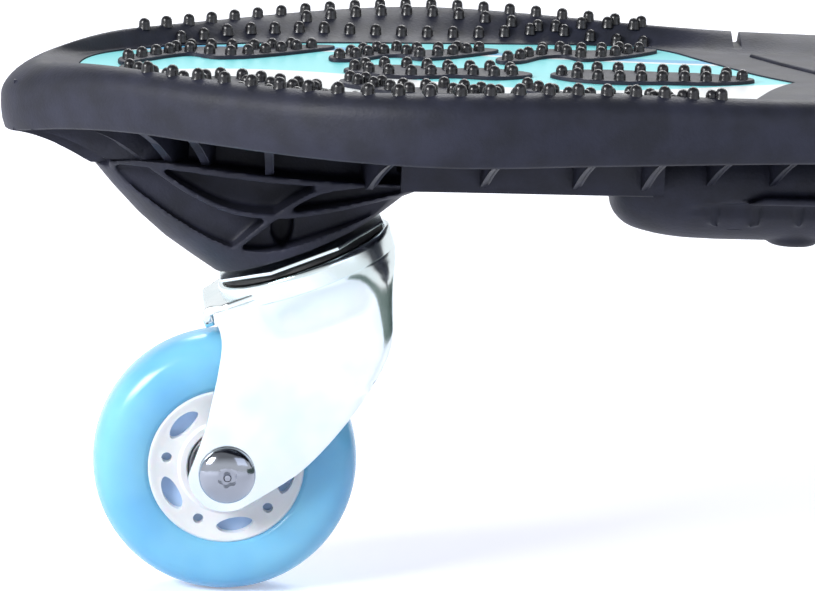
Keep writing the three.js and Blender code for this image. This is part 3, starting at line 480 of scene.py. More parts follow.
shell = {
    "rimRound": 6.5, "rimRise": 5, "rimSwell": 2.8, "swellPlace": 138, "swellRun": 52, "skirtDepth": 11.4,
    "skirtWall": 3.2, "skirtDraft": 1.2, "bulgeHeight": 7, "lipRound": 0.7, "noseRound": 0.6, "noseRun": 37,
    "stepsPerPoint": 6, "slopeRows": 10, "bulgeShares": (0.35, 0.5), "slopeBend": 0.95,
    "rimDroop": (7.2, 38), "plateDroop": (1, 36), "skirtDroop": (7.6, 45),
    "outline": [
        (0, 0), (0.0045, 0.09), (0.017, 0.172), (0.04, 0.268), (0.088, 0.452), (0.17, 0.7), (0.262, 0.915),
        (0.355, 1), (0.473, 0.915), (0.592, 0.825), (0.663, 0.782), (0.74, 0.752), (0.8, 0.66), (0.85, 0.53),
        (0.9, 0.415), (0.95, 0.352), (1, 0.33),
    ],
    "dish": [
        (0.061, 0), (0.065, 0.148), (0.074, 0.245), (0.092, 0.332), (0.127, 0.444), (0.195, 0.566),
        (0.272, 0.638), (0.355, 0.682), (0.467, 0.724), (0.568, 0.704), (0.633, 0.577), (0.704, 0.474),
        (0.763, 0.388), (0.822, 0.296), (0.882, 0.204), (0.941, 0.143), (1, 0.112),
    ],
}
leaf = {
    "depth": 1.2, "film": 0.8, "gap": 0.3, "steps": 5,
    "side": [
        (21.5, 0), (23, 13), (26, 22), (30.5, 29.5), (37, 36.5), (48, 45), (66, 53.5), (90, 60), (118, 64.5),
        (150, 69), (176, 71.5), (190, 70), (199, 61), (205, 46), (211, 30.5), (217, 16), (223, 5), (226.5, 0),
    ],
}
leafFloor = plateauHeight - leaf["depth"]
filmTop = leafFloor + leaf["film"]

# One side of a plan from the free end, starting square to the middle line
def sideCurve(points, steps):
    mirrored = (points[1][0], -points[1][1])
    return curveThrough([mirrored] + points, steps)[steps:]

# Points of a side with their inward directions
def stationsOf(points, lastInward):
    stations = []
    for i, point in enumerate(points):
        before = points[i - 1] if i else point - Vector((0, 1))
        after = points[i + 1] if i + 1 < len(points) else point * 2 - before
        along = (after - before).normalized()
        stations.append((point, Vector((along.y, -along.x))))
    stations[-1] = (points[-1], lastInward)
    return stations

def deckSide(shares):
    scaled = [(place * deckLength, width * board["width"] / 2) for place, width in shares]
    return sideCurve(scaled, shell["stepsPerPoint"])

outlineStations = stationsOf(deckSide(shell["outline"]), Vector((0, -1)))
leafStations = stationsOf(sideCurve(leaf["side"], leaf["steps"]), Vector((-1, 0)))

# Distance from the middle line to a side, at one place
def sideAt(line, place):
    for a, b in zip(line, line[1:]):
        if b.x >= place:
            return a.y + (b.y - a.y) * (place - a.x) / max(b.x - a.x, 1e-6)
    return line[-1].y

def halfWidthAt(place):
    return sideAt([point for point, _ in outlineStations], place)

def droop(place, name):
    depth, run = shell[name]
    return depth * max(0, 1 - place / run) ** 2

def rimAt(place):
    swell = shell["rimSwell"] * math.exp(-((place - shell["swellPlace"]) / shell["swellRun"]) ** 2)
    return plateauHeight + shell["rimRise"] + swell - droop(place, "rimDroop")

def plateauAt(place):
    return plateauHeight - droop(place, "plateDroop")

def skirtAt(place):
    return plateauHeight - shell["skirtDepth"] - droop(place, "skirtDroop")

def bothSides(side):
    return side[::-1] + [(x, -y, z) for x, y, z in side[1:]]

# One closed ring of the shell, a set distance inside the outline; rounded widens that distance round the nose
def shellRing(inset, heightAt, rise=0, endWall=0, rounded=False):
    last = deckLength - endWall
    side = []
    for i, (point, inward) in enumerate(outlineStations):
        reach = inset
        if rounded:
            reach *= 1 + shell["noseRound"] * max(0, 1 - point.x / shell["noseRun"]) ** 2
        x = last if i + 1 == len(outlineStations) else min(point.x + inward.x * reach, last)
        side.append((x, point.y + inward.y * reach, heightAt(x) + rise))
    return bothSides(side)

def blended(first, last, share, fall):
    made = []
    for a, b in zip(first, last):
        x, y, _ = Vector(a).lerp(Vector(b), share)
        made.append((x, y, a[2] + (b[2] - a[2]) * fall))
    return made

def makeShell():
    s = shell
    bm = bmesh.new()
    inner, lip, draft = s["skirtWall"] + s["skirtDraft"], s["lipRound"], s["skirtDraft"]
    ceiling = shellRing(inner, plateauAt, -board["plateThickness"], s["skirtWall"])
    middle = [(x, 0, z) for x, _, z in ceiling]
    rows = [blended(middle, ceiling, share, share) for share in (0, 0.35, 0.7, 1)]
    rows.append(shellRing(inner, skirtAt, lip, s["skirtWall"]))
    rows.append(shellRing(inner - lip, skirtAt, 0, s["skirtWall"] - lip))
    rows.append(shellRing(draft + lip, skirtAt, 0, lip))
    rows.append(shellRing(draft, skirtAt, lip))
    insetShare, heightShare = s["bulgeShares"]
    rows.append(shellRing(draft * insetShare, skirtAt, s["bulgeHeight"] * heightShare))
    rows.append(shellRing(0, skirtAt, s["bulgeHeight"]))
    for angle in range(0, 91, 10):
        turn = math.radians(angle)
        inset, fall = s["rimRound"] * (1 - math.cos(turn)), s["rimRound"] * (1 - math.sin(turn))
        rows.append(shellRing(inset, rimAt, -fall, rounded=True))
    crest = rows[-1]
    dish = bothSides([(x, y, plateauAt(x)) for x, y in deckSide(s["dish"])])
    for i in range(1, s["slopeRows"] + 1):
        share = i / s["slopeRows"]
        rows.append(blended(crest, dish, share, smoothStep(share ** s["slopeBend"])))
    for share in (0.8, 0.55, 0.3, 0):
        rows.append([(x, y * share, z) for x, y, z in dish])
    skin(bm, rows)
    return clean(bm)

# A flat body in the shape of the graphic field
def leafBody(inset, low, high):
    side = [point + inward * inset for point, inward in leafStations]
    def row(share, height):
        return bothSides([(x, max(y, 0) * share, height) for x, y in side])
    shares = (0, 0.3, 0.6, 0.85, 1)
    rows = [row(share, high) for share in shares] + [row(share, low) for share in shares[::-1]]
    bm = bmesh.new()
    skin(bm, rows)
    return clean(bm)

grooves = {
    "slotPlace": 221, "slotWidth": 2.5, "slotDepth": 4, "slotInner": 56, "slotLean": 3, "slotPast": 4,
    "slotRound": 0.8, "neckMargin": 5, "neckRise": 1, "neckRound": 0.8, "neckJoin": 6,
    "neck": [(222, 52), (228, 35), (234, 21), (239, 8), (242, 0)],
}

def slotCutters():
    g = grooves
    cutters = []
    for side in (-1, 1):
        length = board["width"] / 2 - g["slotInner"] + g["slotPast"]
        bm = bmesh.new()
        bmesh.ops.create_cube(bm, size=1)
        bmesh.ops.scale(bm, verts=bm.verts, vec=(g["slotWidth"], length, 2 * g["slotDepth"]))
        edges = [edge for edge in bm.edges if abs(edge.verts[0].co.x - edge.verts[1].co.x) < 1e-6]
        bevelEdges(bm, edges, g["slotRound"], 3)
        turn = Matrix.Rotation(-side * math.atan2(g["slotLean"], length), 4, "Z")
        middle = (g["slotPlace"], side * (g["slotInner"] + length / 2), rimAt(g["slotPlace"]))
        bm.transform(Matrix.Translation(middle) @ turn)
        cutters.append(bm)
    return cutters

# Smoother raised neck behind the textured field, its sides sunk into the slopes
def makeNeck():
    g = grooves
    half = [(point.x, point.y) for point in curveThrough(g["neck"][::-1], 6)]
    start = half[-1][0] + g["neckJoin"]
    half += [(min(point.x, deckLength - 1), point.y + g["neckMargin"])
             for point in deckSide(shell["dish"]) if point.x > start]
    outline = half + [(x, -y) for x, y in half[::-1][:-1]]
    bm = slab(outline, plateauHeight - 1, plateauHeight + g["neckRise"])
    top = [edge for edge in sharpEdges(bm) if min(v.co.z for v in edge.verts) > plateauHeight]
    bevelEdges(bm, top, g["neckRound"], 3)
    return bm


# Grip islands and studs

islands = {
    "rise": 1.1, "edge": 0.5, "steps": 4,
    "side": [
        [
            (34, 3), (41, 12), (48, 21), (54, 25.5), (60, 20), (67, 21), (76, 27), (86, 36), (97, 49),
            (90, 50), (80, 45.5), (70, 40.5), (62, 40), (54, 38), (46, 31), (39, 22), (33, 12),
        ],
        [
            (95, 20), (102, 22), (110, 31), (115, 33), (120, 27), (127, 30), (135, 37), (146, 50),
            (140, 52.5), (130, 47.5), (122, 44.5), (114, 46), (106, 42), (99, 34), (94, 27),
        ],
        [
            (144, 24), (150, 26), (158, 38), (164, 41), (169, 34), (177, 38), (186, 46), (195, 59),
            (188, 60.5), (178, 54.5), (170, 52.5), (162, 54), (154, 47), (147, 37), (143, 30),
        ],
    ],
    "middle": [
        [
            (97, -2), (104, -9), (116, -11), (128, -7), (139, -9), (150, -2), (150, 2), (139, 9), (128, 7),
            (116, 11), (104, 9), (97, 2),
        ],
        [
            (156, -2), (162, -9), (174, -12), (188, -10), (202, -9), (214, -2), (214, 2), (202, 9), (188, 10),
            (174, 12), (162, 9), (156, 2),
        ],
    ],
}
studs = {
    "radius": 1.65, "height": 2.8, "facets": 12, "islandInset": 3.1, "islandPitch": 5.8, "closest": 4.1,
    "first": 40.5, "last": 195, "pitch": 6.6, "pitchGain": 1.3, "gainRun": 60, "crestInset": 6.3,
    "middleInset": 12, "middleFirst": 88, "innerShift": -2.4, "innerFirst": 50, "slack": 0.3, "samples": 160,
    "inner": [
        (52, 50.6), (58.5, 55), (65.5, 60), (72.5, 64), (79.5, 67), (87, 70), (95, 72), (110, 73.3),
        (130, 74.3), (150, 75.5), (176, 77), (200, 73),
    ],
}

def islandOutlines():
    sideOnes = [closedCurve(points, islands["steps"]) for points in islands["side"]]
    mirrored = [[Vector((p.x, -p.y)) for p in line[::-1]] for line in sideOnes]
    return sideOnes + mirrored + [closedCurve(points, islands["steps"]) for points in islands["middle"]]

def makeIslands():
    parts = []
    top = filmTop + islands["rise"]
    for outline in islandOutlines():
        bm = slab([(p.x, p.y) for p in outline], leafFloor - leaf["gap"], top)
        rim = [edge for edge in bm.edges if min(v.co.z for v in edge.verts) > top - 0.01]
        bevelEdges(bm, rim, islands["edge"], 3)
        parts.append(bm)
    return join(parts)

# Studs of one island: inside its edge all round, an even pitch apart
def islandStuds(outline):
    closed = outline + outline[:1]
    turn = math.copysign(1, sum(a.cross(b) for a, b in zip(closed, closed[1:])))
    dense = evenly(closed, studs["samples"])
    chosen = []
    for before, after in zip(dense, dense[1:]):
        along = (after - before).normalized()
        spot = before + Vector((-along.y, along.x)) * turn * studs["islandInset"]
        room = min((spot - point).length for point in dense)
        apart = all((spot - other).length > studs["closest"] for other in chosen)
        if room > studs["islandInset"] - studs["slack"] and apart:
            if not chosen or (spot - chosen[-1]).length > studs["islandPitch"]:
                chosen.append(spot)
    return chosen

def studPlaces(surface):
    top = filmTop + islands["rise"]
    made = [(p.x, p.y, top) for outline in islandOutlines() for p in islandStuds(outline)]
    crest, second = [[point + inward * inset for point, inward in outlineStations]
                     for inset in (studs["crestInset"], studs["middleInset"])]
    inner = curveThrough(studs["inner"], 3)
    spots, place = [], studs["first"]
    while place < studs["last"]:
        spots.append((place, sideAt(crest, place)))
        if place > studs["middleFirst"]:
            spots.append((place, sideAt(second, place)))
        if place > studs["innerFirst"]:
            spots.append((place + studs["innerShift"], sideAt(inner, place + studs["innerShift"])))
        place += studs["pitch"] + studs["pitchGain"] * min((place - studs["first"]) / studs["gainRun"], 1)
    for place, side in spots:
        height = surface.ray_cast((place, side, plateauHeight + 40), (0, 0, -1))[0].z
        made += [(place, side, height), (place, -side, height)]
    return made

def makeStuds(places):
    radius, height = studs["radius"], studs["height"]
    straight = height - radius
    profile = [(radius * 1.2, -0.6), (radius * 1.02, 0.3), (radius, straight)]
    profile += [(radius * math.cos(a), straight + radius * math.sin(a)) for a in (0.4, 0.8, 1.2)]
    profile.append((0, height))
    mesh = meshOf("stud", turned(profile, studs["facets"]))
    whole = bmesh.new()
    for place in places:
        known = len(whole.verts)
        whole.from_mesh(mesh)
        whole.verts.ensure_lookup_table()
        bmesh.ops.translate(whole, verts=whole.verts[known:], vec=place)
    bpy.data.meshes.remove(mesh)
    return whole


# Ribs and spine under the deck

ribs = {
    "thickness": 2, "edge": 0.45, "steps": 12, "spineRoot": 24, "crossRoot": 0.45, "faceHalf": 25.2,
    "bow": 1.6, "inside": 11,
    "nose": [
        (0.3, 0.42, 0.515, 0.045), (0.351, 0.79, 0.568, 0.105), (0.468, 0.95, 0.578, 0.257),
        (0.556, 0.99, 0.568, 0.421), (0.673, 1.03, 0.557, 0.585), (0.877, 1.07, 0.504, 0.842),
        (1.205, 1.07, 0.441, 1.263),
    ],
    "tail": [
        (0.468, 0.56, 0.684, 0.257), (0.608, 0.71, 0.62, 0.491), (0.772, 0.87, 0.557, 0.702),
        (0.959, 1.03, 0.557, 0.936), (1.17, 1.07, 0.557, 1.17), (1.38, 1.07, 0.557, 1.392),
    ],
    "cross": [0.399, 0.476, 0.533, 0.592, 0.645, 0.72, 0.8, 0.9],
}
spine = {"half": 26, "depth": 26.5, "start": 112, "wall": 3, "edge": 0.6}
housing = {
    "radius": 17.5, "length": 152, "webHalf": 15, "bossOffset": 115, "bossRadius": 8, "bossDrop": 1.2,
    "bossRound": 1.5,
    "flangeHalf": 20.8, "flangeLow": -4.2, "flangeHigh": -1.9, "pocketLow": -10.2, "pocketHalf": 15.2,
    "ribPitch": 12.2, "ribFirst": 201.5, "ribWide": 1.6, "ribLast": 4, "ribInset": 1.4, "ovalPlace": 208,
    "ovalLong": 12.5, "ovalTall": 5, "ovalWide": 1.4, "ovalBand": 0.12, "ovalTilt": -58, "ovalInset": 3.2,
    "flangeStart": (24, 30), "voxel": 0.75, "passes": 3,
    "dome": [
        (174, 0), (174.2, 4), (174.7, 8.5), (175.9, 10.8), (179.2, 13.7), (184.9, 15.6), (193.5, 17),
        (205, 17.5),
    ],
    # Place past the end of the spine and fall below the flange, from the floor of the pocket up
    "pocketRise": [(8, 2.6), (14, 0.9), (26, 0)],
}
spineEnd = deckLength - housing["length"]
spineBottom = undersideHeight - spine["depth"]
bossPlace = halfLength - housing["bossOffset"]
bossLow = tubeHeight - housing["radius"] - housing["bossDrop"]

def keelX(share):
    return share * board["kingpinPlace"]

def keelZ(share):
    return plateHeight + share * board["keelHeight"]

# A standing rib whose lower edge falls steeply from the root and runs level into the skirt
def makeRib(rootX, rootY, rootZ, tipX, side):
    root = Vector((rootX, rootY * side))
    tip = Vector((tipX, (halfWidthAt(tipX) - shell["skirtWall"]) * side))
    length = (tip - root).length
    top = plateauAt(tipX) - board["plateThickness"] + 1
    tipZ = skirtAt(tipX) + leaf["gap"]
    lower = []
    for i in range(ribs["steps"] + 1):
        share = i / ribs["steps"]
        lower.append((length * share, tipZ + (rootZ - tipZ) * (1 - share) ** ribs["bow"]))
    start = -ribs["inside"] if rootX < spine["start"] else 0
    outline = [(start, rootZ)] * (start < 0) + lower + [(length, top), (start, top)]
    bm = sideSlab(outline, -ribs["thickness"] / 2, ribs["thickness"] / 2)
    bottom = [edge for edge in sharpEdges(bm, 50) if max(v.co.z for v in edge.verts) < max(tipZ, rootZ) + 0.1]
    bevelEdges(bm, bottom, ribs["edge"], 2)
    turn = Matrix.Rotation(math.atan2(tip.y - root.y, tip.x - root.x), 4, "Z")
    bm.transform(Matrix.Translation((root.x, root.y, 0)) @ turn)
    return bm

def makeRibs(end):
    parts = []
    for side in (-1, 1):
        for rootX, rootY, rootZ, tipX in ribs["nose" if end == "front" else "tail"]:
            parts.append(makeRib(keelX(rootX), rootY * ribs["faceHalf"], keelZ(rootZ), keelX(tipX), side))
        for share in ribs["cross"]:
            place = share * deckLength
            root = ribs["spineRoot"] if place < spineEnd else housing["webHalf"] - ribs["thickness"] / 2
            parts.append(makeRib(place, root, keelZ(ribs["crossRoot"]), place, side))
        wall = rectangle(spine["start"], spineBottom, spineEnd, undersideHeight + 1)
        bm = sideSlab(wall, side * spine["half"], side * (spine["half"] - spine["wall"]))
        bevelEdges(bm, [e for e in bm.edges if max(v.co.z for v in e.verts) < spineBottom + 1], spine["edge"])
        parts.append(bm)
    bulkhead = rectangle(spineEnd - spine["wall"], spineBottom, spineEnd, undersideHeight + 1)
    parts.append(sideSlab(bulkhead, -spine["half"], spine["half"]))
    return join(parts)


# Housing of the torsion tube

def makeHousing():
    h = housing
    dome = [(point.y, point.x) for point in curveThrough(h["dome"], 4)]
    body = turned(dome + [(h["radius"], deckLength), (0, deckLength)], 48)
    body.transform(Matrix.Translation((0, 0, tubeHeight)) @ Matrix.Rotation(math.pi / 2, 4, "Y"))
    webPlan = rectangle(spineEnd, -h["webHalf"], deckLength, h["webHalf"])
    web = slab(webPlan, tubeHeight, undersideHeight + 1)
    wide, round = h["bossRadius"], h["bossRound"]
    boss = turned([(0, bossLow + 4), (0, bossLow), (wide - round, bossLow), (wide, bossLow + round),
                   (wide, tubeHeight), (0, tubeHeight)], 40)
    boss.transform(Matrix.Translation((bossPlace, 0, 0)))
    low, high = tubeHeight + h["flangeLow"], tubeHeight + h["flangeHigh"]
    floor = tubeHeight + h["pocketLow"]
    rise = [(spineEnd + 3, floor)] + [(spineEnd + place, low - fall) for place, fall in h["pocketRise"]]
    pocket = curveThrough(rise, 5) + [(deckLength + 2, low), (deckLength + 2, floor)]
    lowStart, highStart = h["flangeStart"]
    flange = [(spineEnd + lowStart, low), (deckLength, low), (deckLength, high), (spineEnd + highStart, high)]
    raised, cutters = [], []
    for side in (-1, 1):
        cutters.append(sideSlab(pocket, side * h["pocketHalf"], side * (h["radius"] + 4)))
        raised.append(sideSlab(flange, side * (h["webHalf"] - 2), side * h["flangeHalf"]))
        place = h["ribFirst"]
        while place < deckLength - h["ribLast"]:
            bar = rectangle(place, floor - 1, place + h["ribWide"], low + 1)
            raised.append(sideSlab(bar, side * (h["pocketHalf"] - 1), side * (h["radius"] - h["ribInset"])))
            place += h["ribPitch"]
        oval = turned([(1 - h["ovalBand"], 0), (1, 0.5), (1 + h["ovalBand"], 0), (1, -0.5)], 40)
        oval.transform(Matrix.Diagonal((h["ovalLong"] / 2, h["ovalTall"] / 2, h["ovalWide"], 1)))
        tilt = Matrix.Rotation(side * math.radians(h["ovalTilt"]), 4, "X")
        spot = (h["ovalPlace"], side * (h["radius"] - h["ovalInset"]), floor + 0.2)
        oval.transform(Matrix.Translation(spot) @ tilt)
        raised.append(oval)
    return melted(join([cut(body, cutters), web, boss] + raised), h["voxel"], h["passes"])


# Keel that carries the caster

keel = {
    "faceHalf": 25.2, "widest": 34, "panelHalf": 17, "rib": 1.5, "shelf": 2, "shelfHalf": 31,
    "hollowHalf": 13.5, "blunt": 0.72, "bluntBelow": 0.9, "bluntFrom": 0.85, "holeHalf": 3.2, "holeTall": 12,
    "holeDeep": 7, "facets": 72, "voxel": 0.625, "passes": 1, "seat": 1.55,
    "wideRings": [(0.15, 1.03, 1.591, 1.03, 1), (0.19, 0.66, 1.544, 0.684, 0.94)],
    "neckRings": [
        (0.15, 1.03, 1.591, 1.03, 0.5), (0.19, 0.66, 1.544, 0.684, 0.52), (0.29, 0.545, 1.47, 0.47, 0.56),
    ],
    "rings": [
        (0.305, 0.505, 1.45, 0.43, 0.88), (0.37, 0.365, 1.4, 0.385, 0.86), (0.457, 0.19, 1.355, 0.35, 0.84),
        (0.544, 0.051, 1.32, 0.3, 0.81), (0.628, -0.056, 1.29, 0.26, 0.775),
    ],
    "panel": [
        (0.379, 0.519), (0.531, 0.276), (0.752, 0.063), (0.884, 0.042), (1.053, 0.135), (1.345, 0.357),
        (1.368, 0.409), (0.877, 0.473), (0.48, 0.536),
    ],
    "arch": [(0.502, 0.536), (0.614, 0.405), (0.749, 0.297), (0.88, 0.268), (1.051, 0.297), (1.357, 0.395)],
    "slant": [(0.753, 0.008), (0.922, 0.293), (1.049, 0.426), (1.181, 0.462)],
    "shelfLine": [(0.36, 0.53), (0.48, 0.557), (0.877, 0.498), (1.38, 0.426)],
    "hollow": [(0.55, 0.5), (1.6, 0.5), (1.6, 1), (0.55, 1)],
    "hole": (0.93, 0.177),
}

# A slanted ring of the keel; below 1, blunt squares its ends
def keelRing(startX, startZ, endX, endZ, half, blunt=1):
    made = []
    for i in range(keel["facets"]):
        turn = math.tau * i / keel["facets"]
        along = (1 + math.cos(turn)) / 2
        side = half * math.copysign(abs(math.sin(turn)) ** blunt, math.sin(turn))
        made.append((startX + (endX - startX) * along, side, startZ + (endZ - startZ) * along))
    return made

def keelLine(shares, steps=5):
    return curveThrough([(keelX(x), keelZ(z)) for x, z in shares], steps)

def makeKeel():
    k = keel
    lean = board["lean"]
    acrossX, acrossZ = math.cos(lean) * k["faceHalf"], math.sin(lean) * k["faceHalf"]
    faceX = board["kingpinPlace"] - math.sin(lean) * k["seat"]
    faceZ = plateHeight + math.cos(lean) * k["seat"]
    face = keelRing(faceX - acrossX, faceZ - acrossZ, faceX + acrossX, faceZ + acrossZ, k["faceHalf"])

    def hullOf(table):
        rings = []
        for a, b, c, d, half in table:
            blunt = k["blunt"] if half > k["bluntFrom"] else k["bluntBelow"]
            rings.append(keelRing(keelX(a), keelZ(b), keelX(c), keelZ(d), half * k["widest"], blunt))
        bm = bmesh.new()
        for edges in skin(bm, rings + [face]):
            cap(bm, edges)
        bmesh.ops.recalc_face_normals(bm, faces=bm.faces)
        return bm

    hull = hullOf(k["wideRings"] + k["rings"])
    reach = k["widest"] + 2
    hollow = [(keelX(x), keelZ(z)) for x, z in k["hollow"]]
    shelfBar = sideSlab(strip(keelLine(k["shelfLine"]), k["shelf"]), -k["shelfHalf"], k["shelfHalf"])
    shelf = common(shelfBar, hull.copy())
    whole = shaped(hullOf(k["neckRings"] + k["rings"]), [], [shelf], "UNION")
    cutters = [sideSlab(hollow, -k["hollowHalf"], k["hollowHalf"])]
    panel = closedCurve([(keelX(x), keelZ(z)) for x, z in k["panel"]], 4)
    deep = k["holeDeep"]
    kept = []
    for side in (-1, 1):
        near, far = side * k["panelHalf"], side * reach
        cutters.append(sideSlab(panel, near, far))
        for line in (k["arch"], k["slant"]):
            kept.append(common(sideSlab(strip(keelLine(line), k["rib"]), near, far), hull.copy()))
        hole = turned([(0, -deep), (k["holeHalf"], -deep), (k["holeHalf"], deep), (0, deep)], 32)
        hole.transform(Matrix.Diagonal((1, k["holeTall"] / k["holeHalf"] / 2, 1, 1)))
        spot = (keelX(k["hole"][0]), side * k["panelHalf"], keelZ(k["hole"][1]))
        hole.transform(Matrix.Translation(spot) @ Matrix.Rotation(math.pi / 2, 4, "X"))
        cutters.append(hole)
    hull.free()
    return melted(join([cut(whole, cutters)] + kept), k["voxel"], k["passes"])


def makeDecks():
    for end in ends:
        place = deckPlace[end]
        leafCutter = leafBody(0, leafFloor, plateauHeight + 12)
        skinMesh = cut(makeShell(), slotCutters() + [leafCutter])
        places = studPlaces(BVHTree.FromBMesh(skinMesh))
        newPiece(end + "_shell", skinMesh, "moulding", [end + "_deck"], place, end, sharp=50)
        newPiece(end + "_neck", makeNeck(), "moulding", (), place, end, sharp=50)
        filmMesh = leafBody(leaf["gap"], leafFloor, filmTop)
        newPiece(end + "_film", filmMesh, "inlay", [end + "_inlay"], place, end)
        newPiece(end + "_islands", makeIslands(), "moulding", (), place, end, sharp=50)
        newPiece(end + "_studs", makeStuds(places), "moulding", (), place, end, look="grip", sharp=80)
        newPiece(end + "_ribs", makeRibs(end), "moulding", (), place, end, sharp=50)
        print("deck", end, "made, studs:", len(places))
    housingMesh = makeHousing()
    keelMesh = makeKeel()
    for end in ends:
        newPiece(end + "_housing", housingMesh.copy(), "moulding", (), deckPlace[end], end, sharp=60)
        newPiece(end + "_keel", keelMesh.copy(), "moulding", (), keelPlace[end], end, sharp=60)
    housingMesh.free()
    keelMesh.free()
    print("keels and housings made")

makeDecks()


# Fork

fork = {
    "thickness": 2.8, "half": 20.4, "footRadius": 11, "crownRadius": 26.2, "crownThickness": 3,
    "crownHole": 5.5, "crownTop": -5.55, "rimRoll": 3.4, "bowlWall": 1.8, "bowlRise": 2.4, "rearRoll": 1.2,
    "edge": 0.45, "footArc": (-75.6, -194.4), "footSteps": 24, "frontTop": 0.627,
    # Heights below the pivot at which the web between the legs ends and its corners turn
    "webLow": 44, "webFade": 18, "turnLow": 52, "turnFade": 10,
    "bend": 11, "leastBend": 0.4, "bendHigh": 6, "bendRun": 46, "flare": 13, "flareBack": -20, "flareFade": 9,
    "flareSlack": 0.25, "rows": 70, "steps": 30,
    "front": [
        (0.545, -0.309), (0.462, -0.471), (0.388, -0.61), (0.304, -0.705), (0.144, -0.82),
        (-0.03, -0.923), (-0.182, -1), (-0.378, -1.085), (-0.557, -1.143),
    ],
    "rear": [(-1.048, -0.745), (-0.919, -0.587), (-0.806, -0.442), (-0.711, -0.286), (-0.699, -0.178)],
    "lipStart": -12, "lipReach": 33, "lipHalf": 15, "lipDrop": 6.5, "lipCorner": 5, "lipBend": 3,
    "lipThickness": 2.6, "lipEdge": 0.5, "lipRoot": (8, 5), "lipSide": 0.6, "lipSteps": 26,
}

# Outer skin of the fork, from the middle of its front web round the bend to the rear edge of the far leg
def makeForkSheet():
    f = fork
    trail, drop = board["trail"], board["drop"]
    foot = arc(-trail, -drop, f["footRadius"], *f["footArc"], f["footSteps"])
    half = f["footSteps"] // 2
    frontTop = (f["frontTop"] * trail, f["crownTop"] - f["rimRoll"])
    rearTop = (f["rear"][-1][0] * trail, f["crownTop"] - f["rearRoll"])
    front = [frontTop] + [(x * trail, z * drop) for x, z in f["front"]] + foot[:half]
    rear = foot[half + 1:] + [(x * trail, z * drop) for x, z in f["rear"][:-1]] + [rearTop]
    frontLine = evenly(curveThrough(front, 4), f["rows"])
    rearLine = evenly(curveThrough(rear[::-1], 4), f["rows"])
    rows = []
    for k in range(f["rows"]):
        head, tail = frontLine[k], rearLine[k]
        along = (head - tail).normalized() if (head - tail).length > 1e-3 else Vector((1, 0))
        height = -head.y
        web = smoothStep((f["webLow"] - height) / f["webFade"])
        bend = smoothStep(1 - (height - f["bendHigh"]) / f["bendRun"])
        bend = f["leastBend"] + (f["bend"] - f["leastBend"]) * bend
        bend = min(bend, max((head - tail).length * 0.45, 0.05), f["half"] - 0.5)
        turn = math.radians(90 * smoothStep((f["turnLow"] - height) / f["turnFade"]))
        across = (f["half"] - bend) * web
        path = []
        corner = head - along * bend
        if across > 0.05:
            spot = corner + along * (bend * math.sin(turn) + across * math.cos(turn))
            path.append((spot, f["half"] - bend + bend * math.cos(turn) - across * math.sin(turn)))
        for i in range(9):
            angle = turn * (1 - i / 8)
            spot = corner + along * bend * math.sin(angle)
            path.append((spot, f["half"] - bend + bend * math.cos(angle)))
        path.append((tail, f["half"]))
        rows.append(evenly([(spot.x, y, spot.y) for spot, y in path], f["steps"]))
    radius = f["crownRadius"] - f["flareSlack"]
    for row in rows:
        for point in row:
            share = smoothStep(1 - (f["crownTop"] - f["rimRoll"] - point.z) / f["flare"])
            if share > 0 and point.x > f["flareBack"]:
                share *= smoothStep((point.x - f["flareBack"]) / f["flareFade"])
                goal = point.xy * radius / max(point.xy.length, 1e-6)
                point.xy += (goal - point.xy) * share
    bm = bmesh.new()
    skin(bm, rows, closed=False)
    bmesh.ops.recalc_face_normals(bm, faces=bm.faces)
    mirror = bm.copy()
    mirror.transform(Matrix.Diagonal((1, -1, 1, 1)))
    whole = clean(join([bm, mirror]), 0.05)
    outward = max(whole.faces, key=lambda face: face.calc_center_median().y)
    if outward.normal.y < 0:
        bmesh.ops.reverse_faces(whole, faces=whole.faces)
    solid = ("SOLIDIFY", {"thickness": f["thickness"], "offset": -1})
    return shaped(whole, [solid, rounding(f["edge"], 3, 50)])

# Round crown with a rolled rim
def makeCrown():
    f = fork
    top, roll, radius = f["crownTop"], f["rimRoll"], f["crownRadius"]
    low = top - f["crownThickness"]
    wall = radius - f["bowlWall"]
    rim = [(wall - 0.8, top), (wall, top + 0.6), (wall, top + f["bowlRise"] - 0.8)]
    rim += arc(radius - 0.9, top + f["bowlRise"] - 0.9, 0.9, 150, 30, 6)
    rim += [(radius, top + f["bowlRise"] - 1.8), (radius, top - roll), (radius - 0.7, top - roll - 0.5)]
    inner = [(radius - 2, top - roll), (radius - 2.6, low)]
    profile = [(f["crownHole"], top)] + rim + inner + [(f["crownHole"], low)]
    return turned(profile, 128)

